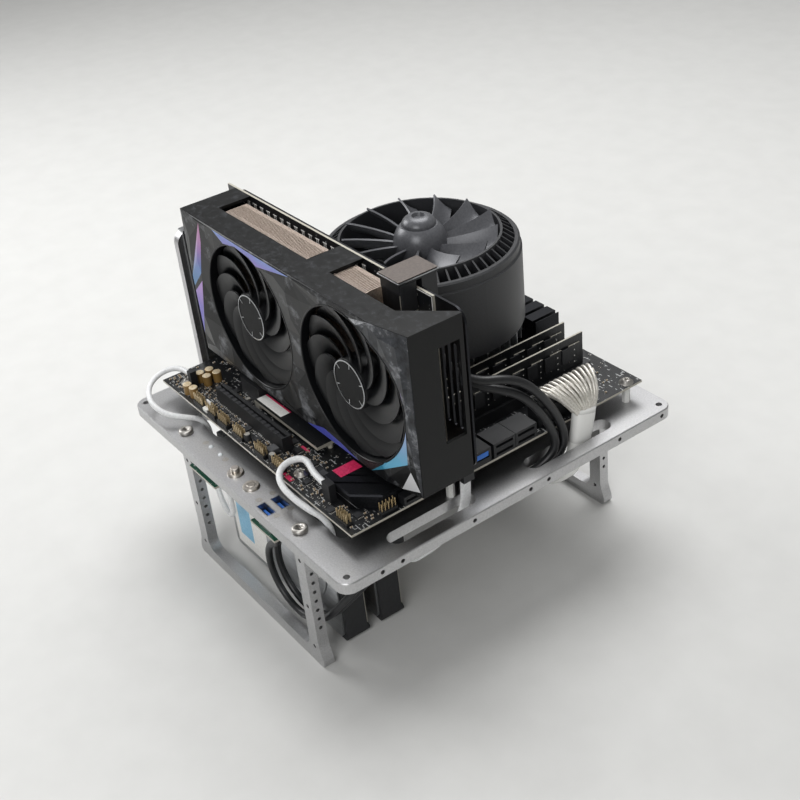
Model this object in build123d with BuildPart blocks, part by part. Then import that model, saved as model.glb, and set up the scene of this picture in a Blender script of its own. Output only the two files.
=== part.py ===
from build123d import *
import math
import os

# Open air test bench: a milled aluminium plate on two leg frames, with a computer built onto it.
# Millimetres. The origin is on the floor below the plate's centre, +Z up. The control strip is
# along the -Y edge, the cable slots along the +X edge, and the rear ports face -X.

os.makedirs("parts", exist_ok=True)

# Clearances
slip_gap = 0.1
running_gap = 0.05
air_gap = 0.4

# Top plate: its +X and -Y edges are the datum for the board, the control strip and the drives
plate_right = 138
plate_front = -138
plate_length = 276
plate_width = 276
plate_thickness = 8
plate_corner_radius = 9
plate_edge_chamfer = 0.6
corner_hole_diameter = 4.4
corner_hole_inset = 7.2
edge_hole_diameter = 3
edge_hole_depth = 7.5
edge_hole_ys = (-109.8, -94.7, -38.5, 7.8, 23.2, 86.7, 126.4)
side_slot_width = 13
side_slot_inset = 16.5
front_side_slot_y = -59.5
front_side_slot_length = 67
back_side_slot_y = 55
back_side_slot_length = 74
cross_slot_width = 12
cross_slot_inset = 30
cross_slot_length = 40
cross_slot_xs = (-70, 80)

# Leg frames
leg_height = 103
leg_thickness = 8
leg_span = 160
leg_post_width = 11
leg_bar_height = 10
leg_inner_radius = 9
leg_inset = 6.5
foot_flare = 4
foot_height = 17
foot_toe = 6
foot_radius = 3.5
post_hole_diameter = 2.6
post_hole_count = 8
post_hole_pitch = 7.7
post_hole_lowest = 32.5
face_hole_diameter = 3
face_hole_heights = (14.5, 50, 88.5)
leg_screw_diameter = 5
leg_screw_length = 22
leg_screw_head_diameter = 10.6
leg_screw_head_height = 3

# Control strip
strip_inset = 11.5
lamp_inset = 14.5
button_bore = 8.4
button_bezel_diameter = 11.8
button_bezel_height = 1.6
button_body_length = 20
button_wall = 1.2
button_floor = 3
button_travel = 1.5
power_button_x = -7
power_button_rise = 3.2
reset_button_x = 13.5
reset_button_rise = 0.2
usb_x = 41
usb_pitch = 10.7
usb_length = 14.4
usb_width = 6.8
usb_wall = 0.5
usb_depth = 14.5
usb_tongue_length = 11
usb_tongue_thickness = 1.9
usb_tongue_depth = 9
lamp_xs = (-46, -33)
lamp_diameter = 3.4
lamp_rise = 1.2
panel_board_thickness = 1.6
panel_board_width = 22
lamp_board_length = 36
usb_board_length = 30
strip_screws = ((-53, 3), (-25.8, 3), (29.2, -3.8), (29.2, 7.1), (51.4, -3.8), (51.4, 7.1))
plate_screw_diameter = 2.4
plate_screw_head_diameter = 4.6
plate_screw_head_depth = 1.5

# Drives
drive_length = 147
drive_height = 101.6
drive_thickness = 20.2
drive_cover_thickness = 1.4
drive_board_thickness = 1.6
drive_board_length = 96
drive_edge = 5
drive_x = 1
drive_front_inset = 30.5
drive_pitch = 29
drive_screw_pitch = 101.6
drive_screw_from_end = 28.5
drive_screw_reach = 4

# Motherboard
board_size = 244
board_thickness = 1.6
board_edge_gap_x = 21
board_edge_gap_y = 22.4
standoff_height = 13
standoff_across = 5
standoff_thread = 2.5
board_hole_diameter = 3.8
board_hole_insets_x = (5, 74, 227.5)
board_hole_insets_y = (12, 78.9, 233.8)
board_screw_flange_diameter = 10
board_screw_flange_height = 1
board_screw_head_diameter = 6
board_screw_head_height = 1.9
board_screw_diameter = 2.3
board_screw_length = 7

# Expansion and memory slots
slot_pitch = 20.32
slot_1_inset = 80.8
slot_start = 53.5
slot_width = 7.4
slot_height = 11.2
slot_gap = 1.9
slot_key_depth = 8
long_slot_length = 89
short_slot_length = 25
memory_slot_xs = (54.7, 63.7, 72.7, 81.7)
memory_slot_length = 142
memory_slot_width = 6.4
memory_slot_height = 9
memory_slot_inset = 84
memory_length = 133.35
memory_height = 31.25
memory_thickness = 1.3
memory_seat = 2.5
memory_chip_thickness = 1
memory_chip_width = 9.5
memory_chip_height = 13
memory_chip_count = 8

# Small board parts
capacitor_diameter = 6.3
capacitor_height = 8
capacitor_spots = ((-104, -88), (-96.5, -86), (-97, -94), (-104.5, -95.5), (-97, -110), (-90, -109))
header_height = 8.5
header_base = 2.5
pin_side = 0.9
pin_pitch = 2.54
header_rows = ((-77, 5), (-58, 4), (-43, 5), (-22, 5), (6, 5), (28, 5), (103, 5))
header_inset = 4.5
power_socket_length = 53
power_socket_width = 10.5
power_socket_height = 13
power_socket_x = 106
power_socket_y = 65.5
power_plug_overlap = 5
power_plug_height = 12.5
sata_block_width = 18
sata_block_depth = 17
sata_block_height = 11
sata_mouth = 9
sata_ys = (5.3, 23.7)
side_usb_y = -16.5
side_usb_width = 21
chipset_size = 44
chipset_height = 10
chipset_x = 88
chipset_y = -79
chipset_cut = 15
chipset_groove = 2
regulator_height = 22
regulator_width = 22
back_regulator_length = 76
back_regulator_x = -2
side_regulator_length = 84
side_regulator_y = 66
fin_groove = 3
stick_length = 80
stick_width = 22
stick_thickness = 2.4
stick_height = 3.2
stick_from_slots = 26.5
stick_y = -73
rear_port_depth = 22
rear_port_overhang = 2
rear_port_width = 16
rear_port_height = 30
rear_port_ys = (103, 84, 65, 46, 27, 8)

# Processor and cooler
processor_x = -5
processor_y = 40
socket_length = 62
socket_width = 52
socket_height = 4.6
processor_length = 45
processor_width = 37.5
processor_height = 7.6
cooler_base_height = 16
cooler_base_diameter = 54
cooler_arm_span = 84
cooler_arm_width = 11
cooler_arm_thickness = 3
cooler_bolt_diameter = 4
cooler_outer_diameter = 137.6
cooler_wall = 2.4
cooler_bottom = 164
cooler_rim = 223
cooler_lip_depth = 7
cooler_lip_step = 3
cooler_ring_gap = 14.2
cooler_ring_wall = 1.6
cooler_ring_height = 21
cooler_ring_rise = 6
cooler_slat_count = 54
cooler_slat_thickness = 1.3
cooler_slat_height = 4
cooler_slat_drop = 1.5
cooler_core_diameter = 40
cooler_fin_count = 36
cooler_fin_thickness = 1
cooler_fin_top = 196
cooler_motor_diameter = 34
cooler_pin_diameter = 5
impeller_bottom = 204
impeller_hub_diameter = 38
impeller_hub_height = 38
impeller_blade_count = 13
impeller_blade_thickness = 1.4
impeller_tip_gap = 2.6

# Graphics card
card_left = -115.5
card_right = 137
card_front = -80
card_bottom = 142.5
card_top = 254.5
card_wall = 2.4
card_end_cut = 30
card_end_set_back = 6
card_end_strip = 26
card_bridge_x = 28
card_bridge_width = 25
card_bridge_thickness = 2.2
card_end_back = 3
card_end_low = 30
card_end_high = 16
card_board_thickness = 1.6
card_board_left = -126.5
card_bracket_gap = 3.8
card_board_right = 110
card_notch_left = 61
card_notch_right = 89
card_notch_depth = 16
card_edge_start = 2
card_edge_length = 84
card_socket_x = 85.5
card_socket_length = 18
card_socket_depth = 12.4
card_socket_height = 17
card_window_left = -95
card_window_right = 108
card_strip_depth = 19
card_die_size = 34
card_die_height = 3
fin_pitch = 4.4
fin_thickness = 1.1
fin_base = 3
fin_depth = 17
fin_set_back = 2.5
first_stack_fins = 24
first_stack_left = -91
second_stack_fins = 15
second_stack_left = 41
backplate_thickness = 1.5
backplate_corner = 9
backplate_vent_width = 3
backplate_vent_length = 60
backplate_vent_count = 4
backplate_vent_pitch = 6
backplate_vent_inset = 14
bracket_thickness = 1.2
bracket_width = 39.4
bracket_bottom = 115
bracket_ear = 12
bracket_ear_heights = (160, 215)
bracket_port_length = 17
bracket_port_width = 5.6
bracket_port_heights = (152, 173, 194, 215)
bracket_port_inset = 29
fan_1_x = -38.8
fan_pitch = 115.7
fan_opening_diameter = 103
fan_tip_gap = 1.8
fan_front_inset = 1
fan_hub_diameter = 34
fan_hub_depth = 15
fan_hub_wall = 1.6
fan_boss_diameter = 7
fan_pin_diameter = 3
fan_pin_length = 9
fan_motor_diameter = 28
fan_motor_thickness = 4
fan_blade_count = 11
fan_blade_thickness = 1.1
spider_thickness = 2.4
spider_arm_width = 4
spider_post_reach = 54
adapter_length = 21
adapter_front = -49
adapter_depth = 29.5
adapter_top = 262.5
adapter_cap_thickness = 2.5
adapter_step = 1
adapter_tail_depth = 11
adapter_tail_bottom = 238

# Card support frame
support_thickness = 6
support_bar = 8
support_height = 118
support_front = -80
support_width = 66
support_radius = 9

# Power supply
supply_length = 125
supply_width = 100
supply_height = 63.5
supply_x = -52.5
supply_leg_gap = 5.5
supply_edge = 1.5
supply_fan_diameter = 84
supply_fan_recess = 14
supply_grille_rings = 5
supply_grille_bar = 2.2
supply_grille_pitch = 8
supply_inlet_width = 27
supply_inlet_height = 20
supply_inlet_depth = 15
supply_inlet_inset = 22

# Cables
bundle_width = 16
bundle_thickness = 9.5
card_cable_diameter = 6
usb_cable_diameter = 5
lamp_cable_diameter = 4
switch_cable_diameter = 4.4
drive_cable_width = 8
drive_cable_thickness = 2.6
usb_cable_offset = 7
usb_plug_length = 20
usb_plug_width = 15
usb_plug_height = 11
usb_plug_spot = (100, -90.5)
edge_socket_depth = 6.5
edge_socket_width = 30
edge_socket_height = 6.8
edge_socket_y = -60.3
drive_plug_width = 8.5
drive_plug_depth = 9
drive_plug_height = 14.9
drive_plug_y = -31.6
drive_plug_bottom = 127.2
drive_socket_height = 12
far_plug_depth = 10
far_plug_width = 9
far_plug_height = 22
far_plug_z = 52
switch_plug_spot = (78, -104.5)
lamp_plug_spot = (-102.5, -102.5)
small_plug_length = 8
small_plug_width = 5
small_plug_height = 13

# Derived levels and edges
plate_left = plate_right - plate_length
plate_back = plate_front + plate_width
plate_x = (plate_left + plate_right) / 2
plate_y = (plate_front + plate_back) / 2
plate_bottom = leg_height
plate_top = leg_height + plate_thickness
board_bottom = plate_top + standoff_height
board_top = board_bottom + board_thickness
board_right = plate_right - board_edge_gap_x
board_left = board_right - board_size
board_front = plate_front + board_edge_gap_y
board_back = board_front + board_size
strip_y = plate_front + strip_inset
lamp_y = plate_front + lamp_inset
corner_hole_span_x = plate_length - 2 * corner_hole_inset
corner_hole_span_y = plate_width - 2 * corner_hole_inset
leg_edge = leg_inset + leg_thickness / 2
leg_ys = (plate_front + leg_edge, plate_back - leg_edge)
post_reach = leg_span / 2 - leg_post_width / 2
post_xs = (plate_x - post_reach, plate_x + post_reach)
leg_screw_spots = [(x, y) for x in post_xs for y in leg_ys]
side_slot_x = plate_right - side_slot_inset
cross_slot_y = plate_front + cross_slot_inset
board_holes = [(x, y) for x in board_hole_insets_x for y in board_hole_insets_y][1:]
standoff_spots = [(board_right - x, board_front + y) for x, y in board_holes]
slot_1_y = board_front + slot_1_inset
slot_left = board_left + slot_start
stick_x = slot_left + stick_from_slots + stick_length / 2
drive_fronts = [plate_front + drive_front_inset + n * drive_pitch for n in range(2)]
drive_right = drive_x + drive_length / 2
drive_screw_xs = [drive_right - drive_screw_from_end - n * drive_screw_pitch for n in range(2)]
drive_screw_spots = [(x, y + drive_thickness / 2) for x in drive_screw_xs for y in drive_fronts]
button_spots = [(power_button_x, strip_y), (reset_button_x, strip_y)]
usb_spots = [(usb_x, strip_y - usb_pitch / 2), (usb_x, strip_y + usb_pitch / 2)]
panel_board_top = plate_top - usb_depth
lamp_board_x = sum(lamp_xs) / 2
strip_screw_spots = [(x, strip_y + y) for x, y in strip_screws]


def save(part, label):
    part.label = label
    export_step(part, f"parts/{label}.step")


# Top plate: slots for the cables, bores for the control strip, holes for legs, standoffs and drives
with BuildPart() as top_plate:
    with BuildSketch(Plane.XY.offset(plate_bottom)):
        with Locations((plate_x, plate_y)):
            RectangleRounded(plate_length, plate_width, plate_corner_radius)
            with GridLocations(corner_hole_span_x, corner_hole_span_y, 2, 2):
                Circle(corner_hole_diameter / 2, mode=Mode.SUBTRACT)
        with Locations((side_slot_x, front_side_slot_y)):
            SlotOverall(front_side_slot_length, side_slot_width, rotation=90, mode=Mode.SUBTRACT)
        with Locations((side_slot_x, back_side_slot_y)):
            SlotOverall(back_side_slot_length, side_slot_width, rotation=90, mode=Mode.SUBTRACT)
        with Locations([(x, cross_slot_y) for x in cross_slot_xs]):
            SlotOverall(cross_slot_length, cross_slot_width, mode=Mode.SUBTRACT)
        with Locations(leg_screw_spots):
            Circle(leg_screw_diameter / 2 + slip_gap, mode=Mode.SUBTRACT)
        with Locations(standoff_spots):
            Circle(standoff_thread / 2, mode=Mode.SUBTRACT)
        with Locations(button_spots):
            Circle(button_bore / 2 + slip_gap, mode=Mode.SUBTRACT)
        with Locations(usb_spots):
            Rectangle(usb_length + 2 * slip_gap, usb_width + 2 * slip_gap, mode=Mode.SUBTRACT)
        with Locations([(x, lamp_y) for x in lamp_xs]):
            Circle(lamp_diameter / 2 + slip_gap, mode=Mode.SUBTRACT)
    extrude(amount=plate_thickness)
    chamfer(top_plate.faces().sort_by(Axis.Z)[-1].outer_wire().edges(), plate_edge_chamfer)
    with Locations([(x, y, plate_top) for x, y in strip_screw_spots + drive_screw_spots]):
        CounterSinkHole(
            plate_screw_diameter / 2 + slip_gap,
            plate_screw_head_diameter / 2 + slip_gap,
            depth=plate_thickness,
            counter_sink_angle=90,
        )
    with BuildSketch(Plane.YZ.offset(plate_right)):
        with Locations([(y, plate_bottom + plate_thickness / 2) for y in edge_hole_ys]):
            Circle(edge_hole_diameter / 2)
    extrude(amount=-edge_hole_depth, mode=Mode.SUBTRACT)
save(top_plate.part, "top_plate")

# Leg frames: milled U frames with flared feet and rows of tapped holes along both posts
post_hole_heights = [post_hole_lowest + n * post_hole_pitch for n in range(post_hole_count)]
for label, leg_y in zip(("front_leg_frame", "rear_leg_frame"), leg_ys):
    with BuildPart() as leg_frame:
        leg_plane = Plane((plate_x, leg_y + leg_thickness / 2, 0), x_dir=(1, 0, 0), z_dir=(0, -1, 0))
        with BuildSketch(leg_plane) as leg_profile:
            with BuildLine():
                outline = Polyline(
                    (0, 0),
                    (leg_span / 2 + foot_flare, 0),
                    (leg_span / 2 + foot_flare, foot_toe),
                    (leg_span / 2, foot_height),
                    (leg_span / 2, leg_height),
                    (leg_span / 2 - leg_post_width, leg_height),
                    (leg_span / 2 - leg_post_width, leg_bar_height),
                    (0, leg_bar_height),
                )
                mirror(outline, about=Plane.YZ)
            make_face()
            heels = leg_profile.vertices().group_by(Axis.Y)[0].group_by(Axis.X)
            fillet(heels[0] + heels[-1], foot_radius)
            toes = [v for v in leg_profile.vertices() if abs(v.Y - foot_toe) < slip_gap]
            fillet(toes, foot_radius)
            ankles = [v for v in leg_profile.vertices() if abs(v.Y - foot_height) < slip_gap]
            fillet(ankles, foot_height)
            crotches = [v for v in leg_profile.vertices() if abs(v.Y - leg_bar_height) < slip_gap]
            fillet([v for v in crotches if leg_inner_radius < abs(v.X) < leg_span / 2], leg_inner_radius)
        extrude(amount=leg_thickness)
        with Locations([(x, leg_y, z) for x in post_xs for z in post_hole_heights]):
            Cylinder(post_hole_diameter / 2, leg_post_width, rotation=(0, 90, 0), mode=Mode.SUBTRACT)
        with Locations([(x, leg_y, z) for x in post_xs for z in face_hole_heights]):
            Cylinder(face_hole_diameter / 2, leg_thickness, rotation=(90, 0, 0), mode=Mode.SUBTRACT)
        with Locations([(x, leg_y, leg_height) for x in post_xs]):
            Hole(leg_screw_diameter / 2 + slip_gap, depth=leg_screw_length - plate_thickness + slip_gap)
    save(leg_frame.part, label)

# Pan head screws that hold the plate on the legs
with BuildPart() as leg_screws:
    with Locations([(x, y, plate_top) for x, y in leg_screw_spots]):
        Cylinder(
            leg_screw_head_diameter / 2,
            leg_screw_head_height,
            align=(Align.CENTER, Align.CENTER, Align.MIN),
        )
        Cylinder(leg_screw_diameter / 2, leg_screw_length, align=(Align.CENTER, Align.CENTER, Align.MAX))
    head_tops = leg_screws.faces().filter_by(Axis.Z).group_by(Axis.Z)[-1].edges()
    fillet(head_tops, leg_screw_head_height / 2)
save(leg_screws.part, "leg_screws")

# Standoffs under the motherboard
with BuildPart() as board_standoffs:
    with BuildSketch(Plane.XY.offset(plate_top)):
        with Locations(standoff_spots):
            RegularPolygon(standoff_across / 2, 6, major_radius=False)
            Circle(board_screw_diameter / 2 + slip_gap, mode=Mode.SUBTRACT)
    extrude(amount=standoff_height)
save(board_standoffs.part, "board_standoffs")

# Flanged screws that clamp the board on its standoffs
with BuildPart() as board_screws:
    with Locations([(x, y, board_top) for x, y in standoff_spots]):
        Cylinder(
            board_screw_flange_diameter / 2,
            board_screw_flange_height,
            align=(Align.CENTER, Align.CENTER, Align.MIN),
        )
        Cylinder(
            board_screw_head_diameter / 2,
            board_screw_flange_height + board_screw_head_height,
            align=(Align.CENTER, Align.CENTER, Align.MIN),
        )
        Cylinder(board_screw_diameter / 2, board_screw_length, align=(Align.CENTER, Align.CENTER, Align.MAX))
save(board_screws.part, "board_screws")

# Countersunk screws in the plate: the panel boards hang from six, the drives from four
with BuildPart() as plate_screws:
    with Locations([(x, y, plate_top) for x, y in strip_screw_spots + drive_screw_spots]):
        Cone(
            plate_screw_diameter / 2,
            plate_screw_head_diameter / 2,
            (plate_screw_head_diameter - plate_screw_diameter) / 2,
            align=(Align.CENTER, Align.CENTER, Align.MAX),
        )
    with Locations([(x, y, plate_top) for x, y in strip_screw_spots]):
        Cylinder(plate_screw_diameter / 2, usb_depth, align=(Align.CENTER, Align.CENTER, Align.MAX))
    with Locations([(x, y, plate_top) for x, y in drive_screw_spots]):
        Cylinder(
            plate_screw_diameter / 2,
            plate_thickness + drive_screw_reach,
            align=(Align.CENTER, Align.CENTER, Align.MAX),
        )
save(plate_screws.part, "plate_screws")

# Push buttons: each bezel is a turned cup through the plate, and its cap slides in the bore
cap_diameter = button_bore - 2 * button_wall
cap_bottom = plate_top + button_bezel_height - button_body_length + button_floor + button_travel + air_gap
for label, (x, y) in zip(("power_button_bezel", "reset_button_bezel"), button_spots):
    with BuildPart() as bezel:
        with BuildSketch(Plane.XZ.offset(-y)):
            with BuildLine():
                Polyline(
                    (x, plate_top + button_bezel_height - button_body_length),
                    (x + button_bore / 2, plate_top + button_bezel_height - button_body_length),
                    (x + button_bore / 2, plate_top),
                    (x + button_bezel_diameter / 2, plate_top),
                    (x + button_bezel_diameter / 2, plate_top + button_bezel_height / 2),
                    (x + button_bezel_diameter / 2 - button_bezel_height / 2, plate_top + button_bezel_height),
                    (x + cap_diameter / 2 + running_gap, plate_top + button_bezel_height),
                    (x + cap_diameter / 2 + running_gap, cap_bottom - button_travel - air_gap),
                    (x, cap_bottom - button_travel - air_gap),
                    close=True,
                )
            make_face()
        revolve(axis=Axis((x, y, 0), (0, 0, 1)))
    save(bezel.part, label)

for label, (x, y), rise in (
    ("power_button_cap", button_spots[0], power_button_rise),
    ("reset_button_cap", button_spots[1], reset_button_rise),
):
    cap_top = plate_top + button_bezel_height + rise
    with BuildPart() as cap:
        with BuildSketch(Plane.XY.offset(cap_bottom)):
            with Locations((x, y)):
                Circle(cap_diameter / 2)
        extrude(amount=cap_top - cap_bottom)
        fillet(cap.faces().sort_by(Axis.Z)[-1].edges(), button_wall / 2)
    save(cap.part, label)

# USB sockets: folded metal shells open at the top, each with a blue tongue
with BuildPart() as usb_port_shells:
    with BuildSketch(Plane.XY.offset(panel_board_top)):
        with Locations(usb_spots):
            Rectangle(usb_length, usb_width)
    extrude(amount=usb_depth)
    with BuildSketch(Plane.XY.offset(plate_top)):
        with Locations(usb_spots):
            Rectangle(usb_length - 2 * usb_wall, usb_width - 2 * usb_wall)
    extrude(amount=-(usb_depth - usb_wall), mode=Mode.SUBTRACT)
save(usb_port_shells.part, "usb_port_shells")

with BuildPart() as usb_port_tongues:
    with BuildSketch(Plane.XY.offset(panel_board_top + usb_wall)):
        with Locations([(x, y + usb_tongue_thickness / 2) for x, y in usb_spots]):
            Rectangle(usb_tongue_length, usb_tongue_thickness)
    extrude(amount=usb_tongue_depth + usb_wall)
    with BuildSketch(Plane.XY.offset(panel_board_top + usb_wall)):
        with Locations(usb_spots):
            Rectangle(usb_length - 2 * usb_wall - 2 * slip_gap, usb_width - 2 * usb_wall - 2 * slip_gap)
    extrude(amount=(usb_depth - usb_tongue_depth) / 2)
save(usb_port_tongues.part, "usb_port_tongues")

# Indicator lights: light pipes with domed ends
with BuildPart() as indicator_lights:
    with Locations([(x, lamp_y, panel_board_top) for x in lamp_xs]):
        Cylinder(
            lamp_diameter / 2,
            plate_top + lamp_rise - panel_board_top,
            align=(Align.CENTER, Align.CENTER, Align.MIN),
        )
    fillet(indicator_lights.faces().filter_by(Axis.Z).group_by(Axis.Z)[-1].edges(), lamp_rise)
save(indicator_lights.part, "indicator_lights")

# Small circuit boards that carry the lights and the USB sockets
with BuildPart() as panel_circuit_boards:
    with BuildSketch(Plane.XY.offset(panel_board_top - panel_board_thickness)):
        with Locations((lamp_board_x, strip_y)):
            Rectangle(lamp_board_length, panel_board_width)
        with Locations((usb_x, strip_y)):
            Rectangle(usb_board_length, panel_board_width)
    extrude(amount=panel_board_thickness)
save(panel_circuit_boards.part, "panel_circuit_boards")

# Hard drives on edge under the plate: cast housing, pressed cover towards -Y, circuit board towards +Y
for number, front in enumerate(drive_fronts, start=1):
    housing_front = front + drive_cover_thickness
    housing_depth = drive_thickness - drive_cover_thickness
    drive_z = plate_bottom - drive_height / 2
    with BuildPart() as housing:
        with BuildSketch(Plane.XZ.offset(-housing_front)):
            with Locations((drive_x, drive_z)):
                Rectangle(drive_length, drive_height)
        extrude(amount=-housing_depth)
        with BuildSketch(Plane.XZ.offset(-housing_front - housing_depth)):
            with Locations((drive_right - drive_board_length / 2, drive_z)):
                Rectangle(drive_board_length, drive_height - 2 * drive_edge)
        extrude(amount=drive_board_thickness + air_gap, mode=Mode.SUBTRACT)
        with Locations([(x, front + drive_thickness / 2, plate_bottom) for x in drive_screw_xs]):
            Hole(plate_screw_diameter / 2 + slip_gap, depth=drive_screw_reach + slip_gap)
        vertical_edges = housing.edges().filter_by(Axis.Y).group_by(Axis.X)
        chamfer(vertical_edges[0] + vertical_edges[-1], drive_edge / 3)
    save(housing.part, f"drive_{number}_housing")

    with BuildPart() as cover:
        with BuildSketch(Plane.XZ.offset(-housing_front)):
            with Locations((drive_x, drive_z)):
                RectangleRounded(drive_length - drive_edge, drive_height - drive_edge, drive_edge)
        extrude(amount=drive_cover_thickness)
        with BuildSketch(Plane.XZ.offset(-front)):
            with Locations((drive_right - drive_height / 2, drive_z)):
                Circle(drive_height / 2 - 2 * drive_edge)
                Circle(drive_height / 2 - 3 * drive_edge, mode=Mode.SUBTRACT)
        extrude(amount=-drive_cover_thickness / 2, mode=Mode.SUBTRACT)
    save(cover.part, f"drive_{number}_cover")

    with BuildPart() as drive_board:
        with BuildSketch(Plane.XZ.offset(-housing_front - housing_depth)):
            with Locations((drive_right - drive_board_length / 2, drive_z)):
                Rectangle(drive_board_length - drive_edge, drive_height - 2 * drive_edge - 2 * slip_gap)
        extrude(amount=drive_board_thickness + air_gap)
    save(drive_board.part, f"drive_{number}_circuit_board")

# Motherboard
with BuildPart() as motherboard:
    with BuildSketch(Plane.XY.offset(board_bottom)):
        with Locations(((board_left + board_right) / 2, (board_front + board_back) / 2)):
            Rectangle(board_size, board_size)
        with Locations(standoff_spots):
            Circle(board_hole_diameter / 2, mode=Mode.SUBTRACT)
    extrude(amount=board_thickness)
save(motherboard.part, "motherboard")

# Expansion slots: the card's long slot, a short slot and a free long slot
slot_rows = (
    (slot_1_y, long_slot_length),
    (slot_1_y - 2 * slot_pitch, short_slot_length),
    (slot_1_y - 3 * slot_pitch, long_slot_length),
)
with BuildPart() as expansion_slots:
    for y, length in slot_rows:
        with BuildSketch(Plane.XY.offset(board_top)):
            with Locations((slot_left + length / 2, y)):
                Rectangle(length, slot_width)
        extrude(amount=slot_height)
        with BuildSketch(Plane.XY.offset(board_top + slot_height)):
            with Locations((slot_left + length / 2, y)):
                Rectangle(length - slot_gap, slot_gap)
        extrude(amount=-slot_key_depth, mode=Mode.SUBTRACT)
save(expansion_slots.part, "expansion_slots")

# Memory sockets
memory_y = board_front + memory_slot_inset + memory_slot_length / 2
with BuildPart() as memory_slots:
    with BuildSketch(Plane.XY.offset(board_top)):
        with Locations([(x, memory_y) for x in memory_slot_xs]):
            Rectangle(memory_slot_width, memory_slot_length)
    extrude(amount=memory_slot_height)
    with BuildSketch(Plane.XY.offset(board_top + memory_slot_height)):
        with Locations([(x, memory_y) for x in memory_slot_xs]):
            Rectangle(memory_thickness + 2 * slip_gap, memory_length + 2 * slip_gap)
    extrude(amount=-(memory_slot_height - memory_seat), mode=Mode.SUBTRACT)
save(memory_slots.part, "memory_slots")

# Memory modules in the second and fourth sockets, with a row of chips towards +X
for number, x in ((1, memory_slot_xs[1]), (2, memory_slot_xs[3])):
    with BuildPart() as memory_module:
        with BuildSketch(Plane.YZ.offset(x - memory_thickness / 2)):
            with Locations((memory_y, board_top + memory_seat + memory_height / 2)):
                Rectangle(memory_length, memory_height)
        extrude(amount=memory_thickness)
        with BuildSketch(Plane.YZ.offset(x + memory_thickness / 2)):
            with Locations((memory_y, board_top + memory_seat + memory_height * 0.6)):
                with GridLocations(memory_length / memory_chip_count, 1, memory_chip_count, 1):
                    Rectangle(memory_chip_width, memory_chip_height)
        extrude(amount=memory_chip_thickness)
    save(memory_module.part, f"memory_module_{number}")

# Gold capped capacitors of the audio corner
with BuildPart() as audio_capacitors:
    with Locations([(x, y, board_top) for x, y in capacitor_spots]):
        Cylinder(capacitor_diameter / 2, capacitor_height, align=(Align.CENTER, Align.CENTER, Align.MIN))
    fillet(audio_capacitors.faces().filter_by(Axis.Z).group_by(Axis.Z)[-1].edges(), air_gap)
save(audio_capacitors.part, "audio_capacitors")

# Pin headers along the front edge
with BuildPart() as pin_headers:
    for x, count in header_rows:
        with BuildSketch(Plane.XY.offset(board_top)):
            with Locations((x, board_front + header_inset)):
                Rectangle(count * pin_pitch, 2 * pin_pitch)
        extrude(amount=header_base)
        with BuildSketch(Plane.XY.offset(board_top + header_base)):
            with Locations((x, board_front + header_inset)):
                with GridLocations(pin_pitch, pin_pitch, count, 2):
                    Rectangle(pin_side, pin_side)
        extrude(amount=header_height - header_base)
save(pin_headers.part, "pin_headers")

# Main power socket and its plug
with BuildPart() as main_power_socket:
    with BuildSketch(Plane.XY.offset(board_top)):
        with Locations((power_socket_x, power_socket_y)):
            Rectangle(power_socket_width, power_socket_length)
    extrude(amount=power_socket_height)
    with BuildSketch(Plane.XY.offset(board_top + power_socket_height)):
        with Locations((power_socket_x, power_socket_y)):
            Rectangle(power_socket_width - 2 * button_wall, power_socket_length - 2 * button_wall)
    extrude(amount=-power_plug_overlap, mode=Mode.SUBTRACT)
save(main_power_socket.part, "main_power_socket")

plug_bottom = board_top + power_socket_height - power_plug_overlap
plug_top = plug_bottom + power_plug_height
plug_length = power_socket_length - 2 * button_wall - 2 * slip_gap
plug_width = power_socket_width - 2 * button_wall - 2 * slip_gap
with BuildPart() as main_power_plug:
    with BuildSketch(Plane.XY.offset(plug_bottom)):
        with Locations((power_socket_x, power_socket_y)):
            Rectangle(plug_width, plug_length)
    extrude(amount=power_plug_height)
save(main_power_plug.part, "main_power_plug")

# Right-angle drive sockets and a USB header at the board's +X edge
with BuildPart() as sata_ports:
    with BuildSketch(Plane.XY.offset(board_top)):
        with Locations([(board_right - sata_block_depth / 2, y) for y in sata_ys]):
            Rectangle(sata_block_depth, sata_block_width)
        with Locations((board_right - sata_block_depth / 2, side_usb_y)):
            Rectangle(sata_block_depth, side_usb_width)
    extrude(amount=sata_block_height)
    with BuildSketch(Plane.XY.offset(board_top)):
        with Locations((board_right - edge_socket_depth / 2, edge_socket_y)):
            Rectangle(edge_socket_depth, edge_socket_width)
    extrude(amount=edge_socket_height)
    with BuildSketch(Plane.XY.offset(board_top)):
        with Locations((board_right - edge_socket_depth / 2, drive_plug_y + drive_plug_width / 4)):
            Rectangle(edge_socket_depth, drive_plug_width / 2 - 2 * slip_gap)
    extrude(amount=drive_socket_height)
    with BuildSketch(Plane.YZ.offset(board_right)):
        with Locations([(y, board_top + sata_block_height / 2) for y in sata_ys]):
            with GridLocations(1, sata_block_height / 2, 1, 2):
                Rectangle(sata_block_width - 4, 2)
        with Locations((side_usb_y, board_top + sata_block_height / 2)):
            Rectangle(side_usb_width - 3, 3)
    extrude(amount=-sata_mouth, mode=Mode.SUBTRACT)
    with BuildSketch(Plane.YZ.offset(board_right)):
        with Locations((edge_socket_y, board_top + edge_socket_height / 2)):
            with GridLocations(edge_socket_width / 2, 1, 2, 1):
                Rectangle(edge_socket_width / 2 - 3, 2)
    extrude(amount=-edge_socket_depth + 1, mode=Mode.SUBTRACT)
save(sata_ports.part, "sata_ports")

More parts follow.
